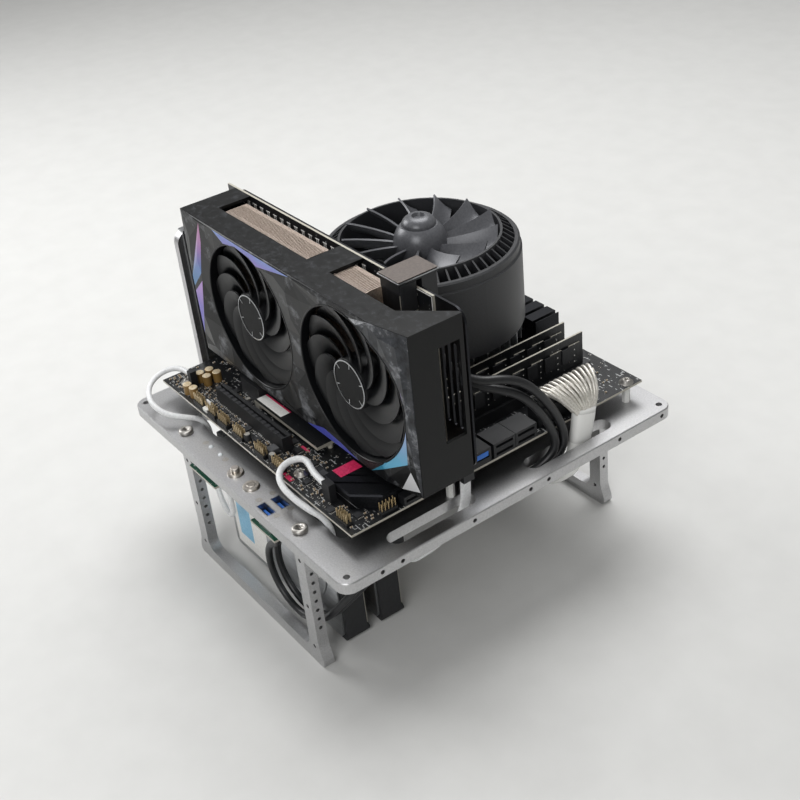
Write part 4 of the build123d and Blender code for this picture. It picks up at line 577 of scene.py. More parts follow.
# %% Round cables
ROUND_CABLES = (
    # piece, route, diameter, finish, slot, node that it stands for
    ("card_power_cable_1", CARD_ROUTE_1, 6, rubber, "black_rubber", "card_power_cables"),
    ("card_power_cable_2", CARD_ROUTE_2, 6, rubber, "black_rubber", "card_power_cables"),
    ("usb_cable_1", USB_ROUTE, 5, rubber, "black_rubber", "usb_cables"),
    ("usb_cable_2", USB_ROUTE_2, 5, rubber, "black_rubber", "usb_cables"),
    ("light_cable", LIGHT_ROUTE, 4, white_jacket, "white_cable", "panel_light_cable"),
    ("switch_cable", SWITCH_ROUTE, 4.4, white_jacket, "white_cable", "panel_switch_cable"),
)
for name, route, diameter, finish, slot, node in ROUND_CABLES:
    piece = settle(nurbs(name, [route], diameter / 2), finish)
    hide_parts(node)
    length = length_of(line_points(route))
    print(name, "length", round(length / MM, 1), "mm")

# %% [markdown]
# The sleeve swells a little at each tape wrap and narrows from the plug's side to the slot.

# %% Flat cables
SLEEVE_TOP, SLEEVE_LOW, SLEEVE_THICK, TAPER_STEPS = 17.4, 14.6, 9.2, 20
WRAP_STEPS, WRAP_SWELL = 5, 0.5
RIBBON_WIDTH, RIBBON_THICK = 8, 2.6


def swell(i):
    return WRAP_SWELL * (i % WRAP_STEPS) / WRAP_STEPS


sleeve_line = line_points(BUNDLE_ROUTE)
sleeve = flat_sweep(
    "main_power_sleeve", sleeve_line,
    lambda i: SLEEVE_LOW + (SLEEVE_TOP - SLEEVE_LOW) * max(0, 1 - i / TAPER_STEPS) + swell(i),
    lambda i: SLEEVE_THICK + swell(i))
settle(sleeve, tape)
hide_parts("main_power_cable")
ribbon_line = line_points(DRIVE_ROUTE)
ribbon = flat_sweep("drive_data_ribbon", ribbon_line, lambda i: RIBBON_WIDTH, lambda i: RIBBON_THICK)
settle(ribbon, white_jacket)
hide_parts("drive_data_cable")
print("sleeve and ribbon:", [round(length_of(line) / MM, 1) for line in (sleeve_line, ribbon_line)], "mm")

# %% [markdown]
# ## Wires of the main plug
# Twenty-four wires leave the plug in two rows, arch over the board's edge and gather into the
# sleeve. Each is a spline of its own, with a little seeded difference, in one curve.

# %% Plug wires
PLUG_X, PLUG_Y, PLUG_TOP, PIN_PITCH, PINS = 106, 65.5, 146.1, 4.2, 12
SLEEVE_X, SLEEVE_Y, SLEEVE_PITCH, SLEEVE_MOUTH = 122.4, 69.4, 1.35, 132
WIRE_RADIUS, ARCH, ROW_ARCH, ROW_OUT = 1.15, 5.4, 1.2, 2.4
ARCH_PLAY, OUT_PLAY, SIDE_PLAY = 0.5, 0.7, 0.6
wire_dice = random.Random(7)
wire_routes = []
for row in (-1, 1):
    for pin in range(PINS):
        share = pin - (PINS - 1) / 2
        x, y = PLUG_X + row * PIN_PITCH / 2, PLUG_Y + share * PIN_PITCH
        gathered = SLEEVE_Y + share * SLEEVE_PITCH
        rise = ARCH - row * ROW_ARCH + wire_dice.uniform(-ARCH_PLAY, ARCH_PLAY)
        out = SLEEVE_X - row * ROW_OUT + wire_dice.uniform(-OUT_PLAY, OUT_PLAY)
        wire_routes.append((
            (x, y, PLUG_TOP - 2), (x + 0.3, y, PLUG_TOP + rise * 0.7),
            (x + 4.5, y * 0.9 + gathered * 0.1, PLUG_TOP + rise),
            (out - 4, y * 0.55 + gathered * 0.45 + wire_dice.uniform(-SIDE_PLAY, SIDE_PLAY),
             PLUG_TOP + rise * 0.3 - 1),
            (out, y * 0.18 + gathered * 0.82, PLUG_TOP - 9), (out, gathered, SLEEVE_MOUTH),
        ))
wires = settle(nurbs("plug_wires", wire_routes, WIRE_RADIUS), tin)
print("wires:", len(wire_routes))

# %% [markdown]
# ## Finishes on the CAD solids
# Every solid that stays is given its finish by name. The others are swapped for finer pieces
# further on.

# %% Node finishes
NODE_FINISHES = {
    aluminium: "top_plate front_leg_frame rear_leg_frame card_support_frame",
    steel: "plate_screws",
    white_nylon: "board_standoffs",
    nickel: "power_button_bezel power_button_cap reset_button_bezel reset_button_cap",
    port_steel: "usb_port_shells rear_port_stacks card_bracket",
    blue_plastic: "usb_port_tongues",
    clear_plastic: "indicator_lights",
    green_board: "panel_circuit_boards drive_1_circuit_board drive_2_circuit_board",
    black_casting: "drive_1_housing drive_2_housing",
    rolled_steel: "drive_1_cover drive_2_cover",
    black_board: "motherboard",
    memory_board: "memory_module_1 memory_module_2",
    stick_board: "storage_stick",
    header: "pin_headers",
    card_board: "card_circuit_board",
    capacitor: "audio_capacitors",
    nylon: "expansion_slots memory_slots main_power_socket main_power_plug sata_ports processor_socket"
           " cable_plugs card_power_adapter card_fan_motors cooler_motor",
    black_aluminium: "chipset_heatsink regulator_heatsinks card_backplate",
    chrome_lid: "processor",
    fin_aluminium: "cooler_base cooler_fins",
    charcoal: "cooler_housing",
    shroud_top: "card_shroud",
    powder_coat: "power_supply",
}
finished = [(name, finish) for finish, names in NODE_FINISHES.items() for name in names.split()]
for name, finish in finished:
    if not nodes[name].data.materials:
        nodes[name].data.materials.append(finish)
    for slot in nodes[name].material_slots:
        slot.material = finish
print("finished nodes:", len(finished))

# %% [markdown]
# ## Helpers for small parts
# Most small parts are boxes with broken edges or turned shapes. One mesh gathers many of them,
# and Geometry Nodes repeat the ones that come in rows and rings.

# %% Mesh helpers
def box(mesh, low, high, edge=0.2):
    """Adds a box between two corners in millimetres, with its edges broken."""
    low, high = Vector(low) * MM, Vector(high) * MM
    size = high - low
    place = Matrix.Translation((low + high) / 2) @ Matrix.Diagonal((*size, 1))
    made = bmesh.ops.create_cube(mesh, size=1, matrix=place)
    edges = list(dict.fromkeys(e for v in made["verts"] for e in v.link_edges))
    bmesh.ops.bevel(mesh, geom=edges, offset=min(edge * MM, min(size) * 0.45), segments=1, affect="EDGES")


def turned(mesh, profile, place, steps=64):
    """Adds a turned shape: profile is (radius, height) pairs in millimetres along the local Z of place."""
    rings = []
    for radius, height in profile:
        turns = [2 * math.pi * k / steps for k in range(steps if radius else 1)]
        spots = [Vector((radius * math.cos(turn), radius * math.sin(turn), height)) * MM for turn in turns]
        rings.append([mesh.verts.new(place @ spot) for spot in spots])
    for a, b in zip(rings, rings[1:]):
        for k in range(steps):
            loop = [a[k % len(a)], a[(k + 1) % len(a)], b[(k + 1) % len(b)], b[k % len(b)]]
            corners = list(dict.fromkeys(loop))
            if len(corners) > 2:
                mesh.faces.new(corners)


def finish_mesh(name, mesh, material=None, body="bench", smooth=0.6):
    """Turns a gathered mesh into an object, smooth where faces meet at a small angle.

    With a material and a slot it becomes a piece.
    """
    bmesh.ops.remove_doubles(mesh, verts=mesh.verts, dist=1e-6)
    bmesh.ops.recalc_face_normals(mesh, faces=mesh.faces)
    data = bpy.data.meshes.new(name)
    mesh.to_mesh(data)
    mesh.free()
    data.shade_smooth()
    data.set_sharp_from_angle(angle=smooth)
    thing = put(name, data)
    return settle(thing, material, body) if material else thing


def facing(x, y, z):
    """A place on the card's front: local Z points out of the card, towards -Y."""
    return Matrix.Translation(Vector((x, y, z)) * MM) @ Matrix.Rotation(math.pi / 2, 4, "X")


print("mesh helpers ready")

# %% Geometry Nodes trees
def repeat_tree(name, inputs, layout):
    """A node tree that repeats one part; layout adds the nodes for the copies' points and turns."""
    tree = bpy.data.node_groups.new(name, "GeometryNodeTree")
    tree.interface.new_socket("Geometry", in_out="OUTPUT", socket_type="NodeSocketGeometry")
    shared = {"Geometry": "Geometry", "Part": "Object", "Finish": "Material"}
    for label, kind in {**shared, **inputs}.items():
        tree.interface.new_socket(label, in_out="INPUT", socket_type="NodeSocket" + kind)
    given = tree.nodes.new("NodeGroupInput").outputs
    points, turn = layout(tree, given)
    part = add(tree, "GeometryNodeObjectInfo", {"Object": given["Part"]})
    settings = {"Points": points, "Instance": part.outputs["Geometry"]}
    if turn is not None:
        settings["Rotation"] = add(tree, "ShaderNodeCombineXYZ", {"Z": turn}).outputs["Vector"]
    copies = add(tree, "GeometryNodeInstanceOnPoints", settings)
    real = add(tree, "GeometryNodeRealizeInstances", {"Geometry": copies.outputs["Instances"]})
    painted = add(tree, "GeometryNodeSetMaterial",
                  {"Geometry": real.outputs["Geometry"], "Material": given["Finish"]})
    add(tree, "NodeGroupOutput", {"Geometry": painted.outputs["Geometry"]})
    return tree


def in_a_row(tree, given):
    line = add(tree, "GeometryNodeMeshLine", {"Count": given["Count"], "Offset": given["Step"]})
    return line.outputs["Mesh"], None


def in_a_ring(tree, given):
    line = add(tree, "GeometryNodeMeshLine", {"Count": given["Count"], "Offset": (0, 0, 0)})
    index = add(tree, "GeometryNodeInputIndex").outputs["Index"]
    share = add(tree, "ShaderNodeMath", {"operation": "DIVIDE", 0: index, 1: given["Count"]})
    turn = add(tree, "ShaderNodeMath", {"operation": "MULTIPLY", 0: share.outputs["Value"], 1: 2 * math.pi})
    return line.outputs["Mesh"], turn.outputs["Value"]


def on_spots(tree, given):
    dice = add(tree, "FunctionNodeRandomValue",
               {"data_type": "FLOAT", 2: 0.0, 3: given["Turn"], "Seed": given["Seed"]})
    return given["Geometry"], dice.outputs[1]


row_tree = repeat_tree("parts_in_a_row", {"Count": "Int", "Step": "Vector"}, in_a_row)
ring_tree = repeat_tree("parts_in_a_ring", {"Count": "Int"}, in_a_ring)
spot_tree = repeat_tree("parts_on_spots", {"Turn": "Float", "Seed": "Int"}, on_spots)
print("trees: row, ring, spots")

# %% Growing parts
ORIGIN = [(0, 0, 0)]


def grow(name, tree, one, places, values, smooth=0.6):
    """Repeats a small mesh by a tree that starts from places in millimetres, and returns a plain mesh."""
    part = finish_mesh("part", one, smooth=smooth)
    spots = bpy.data.meshes.new("spots")
    spots.from_pydata([Vector(p) * MM for p in places], [], [])
    base = put("spots", spots)
    modifier = base.modifiers.new("grow", "NODES")
    modifier.node_group = tree
    values = {**values, "Part": part}
    for item in tree.interface.items_tree:
        if item.item_type == "SOCKET" and item.in_out == "INPUT" and item.name in values:
            modifier[item.identifier] = values[item.name]
    mesh = evaluated(base)
    base.modifiers.remove(modifier)
    for thing in (base, part):
        bpy.data.objects.remove(thing)
    mesh.name = name
    return mesh


print("parts can grow")

# %% [markdown]
# ## Card fins
# The card's heatsink is a stack of thin oxidised copper sheets, about 1.7 mm apart. The CAD
# comb has fewer, thicker fins, so a row of sheets takes its place, on the same base.

# %% Fin stacks
fin_low, fin_high = (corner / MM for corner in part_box("card_heatsink"))
FIN_PITCH, FIN_SHEET, FIN_EDGE, TAB = 1.7, 0.75, 0.05, 3
FIN_FRONT, BASE_FRONT, BASE_DEPTH, STEP_DOWN, BASE_DOWN = fin_low.y, fin_high.y - 6, 3, 17, 18
GAP_LEFT, GAP_RIGHT, STEP_X = 14.5, 41, 76
PAD_LOW, PAD_HIGH, BLOCK_EDGE = (-22, 181.5), (12, 215.5), 0.3
STACKS = ((fin_low.x, GAP_LEFT, fin_high.z), (GAP_RIGHT, STEP_X, fin_high.z),
          (STEP_X, fin_high.x, fin_high.z - STEP_DOWN))
fins, fin_count = bmesh.new(), 0
for left, right, top in STACKS:
    sheet = bmesh.new()
    box(sheet, (left, FIN_FRONT, fin_low.z), (left + FIN_SHEET, BASE_FRONT + 0.1, top), FIN_EDGE)
    for front in (FIN_FRONT, BASE_FRONT - TAB):
        box(sheet, (left, front, top - 0.5), (left + FIN_PITCH * 0.8, front + TAB, top), FIN_EDGE)
    count = int((right - left) / FIN_PITCH)
    fins.from_mesh(grow("fin_row", row_tree, sheet, ORIGIN,
                        {"Count": count, "Step": (FIN_PITCH * MM, 0, 0), "Finish": copper_fins}))
    fin_count += count
box(fins, (fin_low.x, BASE_FRONT, fin_low.z),
    (fin_high.x, BASE_FRONT + BASE_DEPTH, fin_high.z - BASE_DOWN), BLOCK_EDGE)
box(fins, (PAD_LOW[0], BASE_FRONT + BASE_DEPTH - 0.1, PAD_LOW[1]),
    (PAD_HIGH[0], fin_high.y, PAD_HIGH[1]), BLOCK_EDGE)
card_fins = finish_mesh("card_fin_stack", fins, copper_fins, smooth=0.3)
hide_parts("card_heatsink")
print("fins:", fin_count)

# %% [markdown]
# ## Blades
# A fan blade is a thin moulded shell. It is drawn as a surface over two shares, u from hub to
# tip and v across the blade, and thickened to both sides along its own normal.

# %% Blade helpers
OUTWARDS, ACROSS, NEAR = 14, 10, 0.01


def blade_shell(spot, thick):
    """A closed shell about the surface spot(u, v), which gives places in millimetres."""
    made, sheets = bmesh.new(), []
    for side in (0.5, -0.5):
        sheet = []
        for i in range(OUTWARDS + 1):
            line = []
            for j in range(ACROSS + 1):
                u, v = i / OUTWARDS, j / ACROSS
                along = spot(u + NEAR, v) - spot(u - NEAR, v)
                over = spot(u, v + NEAR) - spot(u, v - NEAR)
                place = spot(u, v) + along.cross(over).normalized() * side * thick
                line.append(made.verts.new(place * MM))
            sheet.append(line)
        sheets.append(sheet)
    top, under = sheets
    for i in range(OUTWARDS):
        for j in range(ACROSS):
            made.faces.new((top[i][j], top[i][j + 1], top[i + 1][j + 1], top[i + 1][j]))
            made.faces.new((under[i][j], under[i + 1][j], under[i + 1][j + 1], under[i][j + 1]))
    border = [(0, j) for j in range(ACROSS)] + [(i, ACROSS) for i in range(OUTWARDS)]
    border += [(OUTWARDS, j) for j in range(ACROSS, 0, -1)] + [(i, 0) for i in range(OUTWARDS, 0, -1)]
    for (i, j), (k, m) in zip(border, border[1:] + border[:1]):
        made.faces.new((top[i][j], under[i][j], under[k][m], top[k][m]))
    return made


def blade_ring(spot, thick, count, finish, place):
    """A mesh with count blades in a ring, moved to its place."""
    ring = grow("blade_ring", ring_tree, blade_shell(spot, thick), ORIGIN,
                {"Count": count, "Finish": finish}, smooth=0.9)
    ring.transform(place)
    made = bmesh.new()
    made.from_mesh(ring)
    return made


def through(first, middle, last, share):
    """The smooth value that is first, middle and last at the shares 0, 0.5 and 1."""
    ends = first * (2 * share - 1) * (share - 1) + last * share * (2 * share - 1)
    return ends + 4 * middle * share * (1 - share)


def bow(first, middle, last, steps):
    """A smooth line through three (radius, height) pairs."""
    pairs = tuple(zip(first, middle, last))
    return [tuple(through(*values, k / steps) for values in pairs) for k in range(steps + 1)]


print("blade helpers ready")

# %% [markdown]
# ## Cooler impeller
# Thirteen blades twist from steep at the hub to flatter at the tip, where they stand above the
# slatted ring as blunt paddles. The hub is a stepped dome with a dimple, and turns on the motor's
# pin. The CAD blades are broader and straight sided, so smooth ones take their place.

# %% Impeller
IMPELLER_PLACE = Matrix.Translation(Vector((-5, 40, 204)) * MM)
IMPELLER_BLADES, IMPELLER_THICK, CAMBER = 13, 1.3, 1.8
PIN_BORE, BORE_DEPTH, HUB_FOOT = 2.55, 19.4, 19
# radius, chord, pitch in degrees, height and lead in degrees, each at the hub, halfway and at the tip
STATIONS = ((17.5, 36, 53), (13, 14.5, 16.5), (60, 50, 42), (15, 19, 23), (5, 9, 14))


def impeller_spot(u, v):
    radius, chord, pitch, height, lead = (through(*station, u) for station in STATIONS)
    reach = (v - 0.5) * chord
    turn = math.radians(lead) + reach * math.cos(math.radians(pitch)) / radius
    rise = height + reach * math.sin(math.radians(pitch)) - CAMBER * u * math.sin(math.pi * v)
    return Vector((radius * math.cos(turn), radius * math.sin(turn), rise))


dome = [(0, BORE_DEPTH), (PIN_BORE, BORE_DEPTH), (PIN_BORE, 0), (HUB_FOOT, 0)]
dome += bow((HUB_FOOT, 16), (17.1, 25.5), (12.9, 31.5), 8)
dome += [(11.8, 31.6)] + bow((11.8, 33.1), (9.5, 36.3), (6.1, 38), 6)
dome += [(4.6, 38), (3.8, 35.7), (0, 35.7)]
impeller = blade_ring(impeller_spot, IMPELLER_THICK, IMPELLER_BLADES, grey_blade, IMPELLER_PLACE)
turned(impeller, dome, IMPELLER_PLACE)
impeller_piece = finish_mesh("swept_impeller", impeller, grey_blade, "cooler_rotor")
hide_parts("cooler_impeller")
print("impeller faces:", len(impeller_piece.data.polygons))

# %% [markdown]
# ## Card fans
# Each fan has broad crescent blades that overlap and sweep forward to the tip. The pitch
# flattens outwards and the lead grows, so a blade curls like the real moulding. Eleven of them
# join the hub cap, which carries a dark disc, a thin bright ring and six short marks.

# %% Fans
FAN_XS, FAN_Z, FAN_FRONT, HUB_RADIUS, TIP_RADIUS, BLADES = (-38.8, 76.9), 198.5, -79, 17, 49.7, 11
BLADE_DEPTH, BLADE_THICK, ROOT_OVERLAP, BELLY, SEAT, TIP_LOSS = 9, 0.9, 0.6, 1.1, -0.62, 0.35
LEAD_START, LEAD, LEAD_POWER, WIDTH, WIDTH_LOSS = 2, 60, 1.25, 47, 5
CUP_INNER, CUP_BACK = HUB_RADIUS - 1.6, -15
TICKS, TICK_START, TICK_RADIUS, TICK_SIZE = 6, 0.35, 13.6, (3.6, 0.5, 0.3)


def crescent_spot(u, v):
    turn = math.radians(LEAD_START + LEAD * max(u, 0) ** LEAD_POWER)
    turn += (v - 0.5) * math.radians(WIDTH - WIDTH_LOSS * u)
    radius = HUB_RADIUS - ROOT_OVERLAP + (TIP_RADIUS - HUB_RADIUS + ROOT_OVERLAP) * u
    height = BLADE_DEPTH * (SEAT + (0.5 - v) * (1 - TIP_LOSS * u)) + BELLY * math.sin(math.pi * v)
    return Vector((radius * math.cos(turn), radius * math.sin(turn), height))


for number, x in enumerate(FAN_XS, start=1):
    place, rotor = facing(x, FAN_FRONT, FAN_Z), f"card_rotor_{number}"
    fan = blade_ring(crescent_spot, BLADE_THICK, BLADES, fan_black, place)
    turned(fan, [(CUP_INNER, CUP_BACK), (HUB_RADIUS, CUP_BACK), (HUB_RADIUS, -1.4), (HUB_RADIUS - 0.5, -0.5),
                 (CUP_INNER, -0.1), (0, 0)], place)
    turned(fan, [(CUP_INNER, CUP_BACK), (CUP_INNER, -2), (0, -2)], place)
    fan_piece = finish_mesh(f"crescent_fan_{number}", fan, fan_black, rotor, 0.7)
    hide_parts(f"card_fan_{number}")
    badge = bmesh.new()
    badge_rim = HUB_RADIUS - 0.9
    turned(badge, [(badge_rim, 0), (badge_rim, 0.35), (CUP_INNER, 0.45), (CUP_INNER, 0)], place)
    for k in range(TICKS):
        spoke = place @ Matrix.Rotation(2 * math.pi * k / TICKS + TICK_START, 4, "Z")
        middle = Matrix.Translation(Vector((TICK_RADIUS, 0, TICK_SIZE[2] / 2)) * MM)
        size = Matrix.Diagonal((*(Vector(TICK_SIZE) * MM), 1))
        bmesh.ops.create_cube(badge, size=1, matrix=spoke @ middle @ size)
    finish_mesh(f"hub_ring_{number}", badge, fin_aluminium, rotor, 0.5)
    disc = bmesh.new()
    disc_rim = HUB_RADIUS - 1.5
    turned(disc, [(disc_rim, -0.2), (disc_rim, 0.08), (0, 0.12)], place)
    finish_mesh(f"hub_disc_{number}", disc, hub_black, rotor, 0.5)
print("fans:", len(FAN_XS), "with", BLADES, "blades each")

# %% [markdown]
# ## Faceted shroud front
# The front of the shroud is cut into large angular facets. A flat net of points is joined by
# triangles with the two fan openings and the film fields kept as edges. Inner points then
# come forward by a seeded amount, so every triangle catches the light by itself.

# %% Facet net
FRONT_Y, LEFT, END, FOLD, LOW, HIGH, END_SLOPE = -80.15, -115.3, 136.6, 107, 142.7, 254.3, 0.2
OPENING, OPENING_POINTS = 51.8, 96
FIELD_LIFT, FACET_LIFT, SNAP, EDGE_SNAP = 0.9, (0.5, 3.2), 0.2, 0.3
# the corner of facets that is given painted light
LIT_CORNER_LEFT, LIT_CORNER_LOW = FOLD - 14, 168
FILM_FIELDS = (
    (tall_film, ((-88.6, 252.9), (-90.7, 237), (-99.7, 210.4), (-114.2, 195.4), (-114.8, 203))),
    (low_film, ((-114.3, 191.4), (-100.4, 204.2), (-113.8, 157))),
    (top_film, ((-69.7, 253.7), (-26.7, 253.2), (25, 253.2), (-15.4, 245.8), (-23.2, 249.2), (-40.7, 251),
                (-56.8, 247.9))),
    (low_film, ((20, 143.7), (40.8, 149.5), (61.1, 147.4), (79, 143.6))),
    (end_film, ((92.7, 143.6), (127.6, 164), (128.2, 215.5), (122.4, 196.3), (118.6, 178), (107.2, 155.8))),
    (silver_film, ((129.4, 159.3), (135.8, 147), (121, 143.6))),
)
LOOSE = (
    (-106, 236), (-100, 222), (-104, 176), (-98, 152), (-72, 147), (-110, 150), (-4, 236), (19, 241),
    (19, 156), (10, 150), (34, 240), (6, 247), (19, 222), (19, 175), (122, 236), (114, 247), (130, 247),
    (118, 226), (131, 228), (98, 250), (60, 250.5), (131, 200), (112, 149), (34, 152), (-30, 146),
    (-95, 246),
)
fan_centres = [Vector((x, FAN_Z)) for x in FAN_XS]
facet_dice = random.Random(11)
flat, edges = [], []


def add_loop(points):
    first = len(flat)
    flat.extend(Vector(p) for p in points)
    edges.extend((first + k, first + (k + 1) % len(points)) for k in range(len(points)))


def inside(point, polygon):
    """Whether a flat point lies in a polygon."""
    hit = False
    for (ax, ay), (bx, by) in zip(polygon, polygon[1:] + polygon[:1]):
        if (ay > point.y) != (by > point.y) and point.x < (bx - ax) * (point.y - ay) / (by - ay) + ax:
            hit = not hit
    return hit


add_loop([(LEFT, LOW), (FOLD, LOW), (END, LOW), (END, HIGH), (FOLD, HIGH), (LEFT, HIGH)])
edges.append((1, 4))
turns = [2 * math.pi * k / OPENING_POINTS for k in range(OPENING_POINTS)]
for x in FAN_XS:
    add_loop([(x + OPENING * math.cos(turn), FAN_Z + OPENING * math.sin(turn)) for turn in turns])
for _, field in FILM_FIELDS:
    add_loop(field)
flat.extend(Vector(p) for p in LOOSE)
net_points, _, net_faces, *_ = delaunay_2d_cdt(flat, edges, [], 0, 1e-4)
print("net points:", len(net_points))

# %% Facet skin
skin = bmesh.new()
skin_verts = []
for point in net_points:
    on_rim = any(abs((point - centre).length - OPENING) < SNAP for centre in fan_centres)
    on_edge = min(point.x - LEFT, END - point.x, point.y - LOW, HIGH - point.y) < EDGE_SNAP
    on_field = any((point - Vector(corner)).length < SNAP for _, field in FILM_FIELDS for corner in field)
    forward = 0 if on_rim or on_edge else FIELD_LIFT if on_field else facet_dice.uniform(*FACET_LIFT)
    y = FRONT_Y + max(0, point.x - FOLD) * END_SLOPE - forward
    skin_verts.append(skin.verts.new(Vector((point.x, y, point.y)) * MM))
finishes = [shroud_smoke, shroud_painted_light] + list(dict.fromkeys(finish for finish, _ in FILM_FIELDS))
for face in net_faces:
    middle = sum((net_points[k] for k in face), Vector((0, 0))) / len(face)
    if any((middle - centre).length < OPENING for centre in fan_centres):
        continue
    made = skin.faces.new([skin_verts[k] for k in face])
    # facets in the upper corner at the end take the paler copy of the smoke: painted light
    if middle.x > LIT_CORNER_LEFT and middle.y > LIT_CORNER_LOW:
        made.material_index = finishes.index(shroud_painted_light)
    for finish, field in FILM_FIELDS:
        if inside(middle, field):
            made.material_index = finishes.index(finish)
bmesh.ops.recalc_face_normals(skin, faces=skin.faces)
if sum(f.normal.y for f in skin.faces) > 0:
    bmesh.ops.reverse_faces(skin, faces=skin.faces)
bmesh.ops.delete(skin, geom=[v for v in skin.verts if not v.link_faces], context="VERTS")
skin_data = bpy.data.meshes.new("shroud_facets")
skin.to_mesh(skin_data)
skin.free()
for finish in finishes:
    skin_data.materials.append(finish)
settle(put("shroud_facets", skin_data), None)
print("facets:", len(skin_data.polygons))

# %% Fan opening rings
LIP_FRONT, LIP_DEPTH, LIP_INNER, LIP_OUTER = -80, -6, 50.7, 52.2
lip_profile = [(LIP_INNER, LIP_DEPTH), (LIP_INNER, 0), (51, 0.4), (51.7, 0.5), (LIP_OUTER, 0.2),
               (LIP_OUTER, -0.4), (51.6, -0.4), (51.6, LIP_DEPTH), (LIP_INNER, LIP_DEPTH)]
for number, x in enumerate(FAN_XS, start=1):
    lips = bmesh.new()
    turned(lips, lip_profile, facing(x, LIP_FRONT, FAN_Z), OPENING_POINTS)
    for vert in lips.verts:
        vert.co.y += max(0, vert.co.x - FOLD * MM) * END_SLOPE
    finish_mesh(f"fan_opening_ring_{number}", lips, fan_black, smooth=0.5)
print("opening rings:", len(FAN_XS))

# %% [markdown]
# ## Screw heads
# The plate and the board are held by screws with a cross recess. The CAD heads are plain, so
# a cross is cut into each: one cutter with two crossed bars, set on every head by Geometry
# Nodes with its own seeded turn, as a hand driver leaves them.

# %% Cross recesses
def head_tops(node):
    """The top centre of each separate solid in a node, in millimetres, sorted so that every run agrees."""
    mesh = bmesh.new()
    mesh.from_mesh(node.data)
    bmesh.ops.remove_doubles(mesh, verts=mesh.verts, dist=1e-6)
    left, tops = set(mesh.verts), []
    while left:
        queue, group = [left.pop()], []
        while queue:
            vert = queue.pop()
            group.append(vert.co / MM)
            near = {edge.other_vert(vert) for edge in vert.link_edges} & left
            left -= near
            queue.extend(near)
        middle = [(max(v[k] for v in group) + min(v[k] for v in group)) / 2 for k in range(2)]
        tops.append((*middle, max(v.z for v in group)))
    mesh.free()
    return sorted(tops)


def crossed(name, node, reach, width, depth, seed):
    """Replaces a node of steel screws by the same screws with a cross recess in each head."""
    bars = bmesh.new()
    for across, along in ((reach, width), (width, reach)):
        box(bars, (-across, -along, -depth), (across, along, 1), 0.01)
    tops = head_tops(nodes[node])
    cutter = put("cross_cutter", grow("cross_cutter", spot_tree, bars, tops,
                                      {"Turn": math.pi / 2, "Seed": seed, "Finish": steel}))
    body = bmesh.new()
    body.from_mesh(nodes[node].data)
    blank = finish_mesh("blank_screws", body)
    cutting = blank.modifiers.new("cut", "BOOLEAN")
    cutting.object, cutting.solver, cutting.use_self = cutter, "EXACT", True
    piece = put(name, evaluated(blank))
    for thing in (cutter, blank):
        bpy.data.objects.remove(thing)
    settle(piece, steel)
    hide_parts(node)
    return len(tops)


plate_count = crossed("crossed_leg_screws", "leg_screws", reach=2.4, width=0.55, depth=1.6, seed=3)
board_count = crossed("crossed_board_screws", "board_screws", reach=1.9, width=0.45, depth=1.4, seed=5)
print("screws cut:", plate_count, "on the plate,", board_count, "on the board")

# %% [markdown]
# ## Parts on the board
# A board carries hundreds of small parts: ceramic capacitors, resistors, chips, coils and
# round capacitors. Each kind is one small mesh. Seeded places are drawn, and a place is kept
# only where a ray down onto the board meets nothing taller and no other part is in the way.

# %% Free places on the board
BOARD_TOP, RAY_START, SPACE, TRIES = 125.6, 139, 0.3, 12
BOARD_LEFT, BOARD_RIGHT, BOARD_FRONT, BOARD_BACK = -125, 115, -114, 127
FRONT_SHARE, FRONT_LIMIT = 0.62, -84
SKIPPED = {"motherboard", "card_power_cables", "panel_light_cable", "panel_switch_cable", "main_power_cable"}
blockers = [BVHTree.FromPolygons([v.co for v in node.data.vertices], [f.vertices for f in node.data.polygons])
            for name, node in nodes.items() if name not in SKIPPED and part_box(name)[1].z > BOARD_TOP * MM]
taken = []


def is_free(x, y, across, along):
    """Whether a rectangle on the board is bare."""
    for cx, cy, ca, cb in taken:
        if abs(x - cx) < (across + ca) / 2 + SPACE and abs(y - cy) < (along + cb) / 2 + SPACE:
            return False
    for dx in (-1, 0, 1):
        for dy in (-1, 0, 1):
            above = Vector((x + dx * (across / 2 + SPACE), y + dy * (along / 2 + SPACE), RAY_START)) * MM
            for tree in blockers:
                hit = tree.ray_cast(above, Vector((0, 0, -1)))[0]
                if hit is not None and hit.z > (BOARD_TOP + 0.05) * MM:
                    return False
    return True


def free_places(count, across, along, dice):
    """Draws bare places for parts of one size; most lie in the open strip at the front."""
    found = []
    for _ in range(count * TRIES):
        if len(found) == count:
            break
        x = dice.uniform(BOARD_LEFT + across, BOARD_RIGHT - across)
        y_high = FRONT_LIMIT if dice.random() < FRONT_SHARE else BOARD_BACK - along
        y = dice.uniform(BOARD_FRONT + along / 2, y_high)
        if is_free(x, y, across, along):
            taken.append((x, y, across, along))
            found.append((x, y, BOARD_TOP))
    return found


print("blockers:", len(blockers))

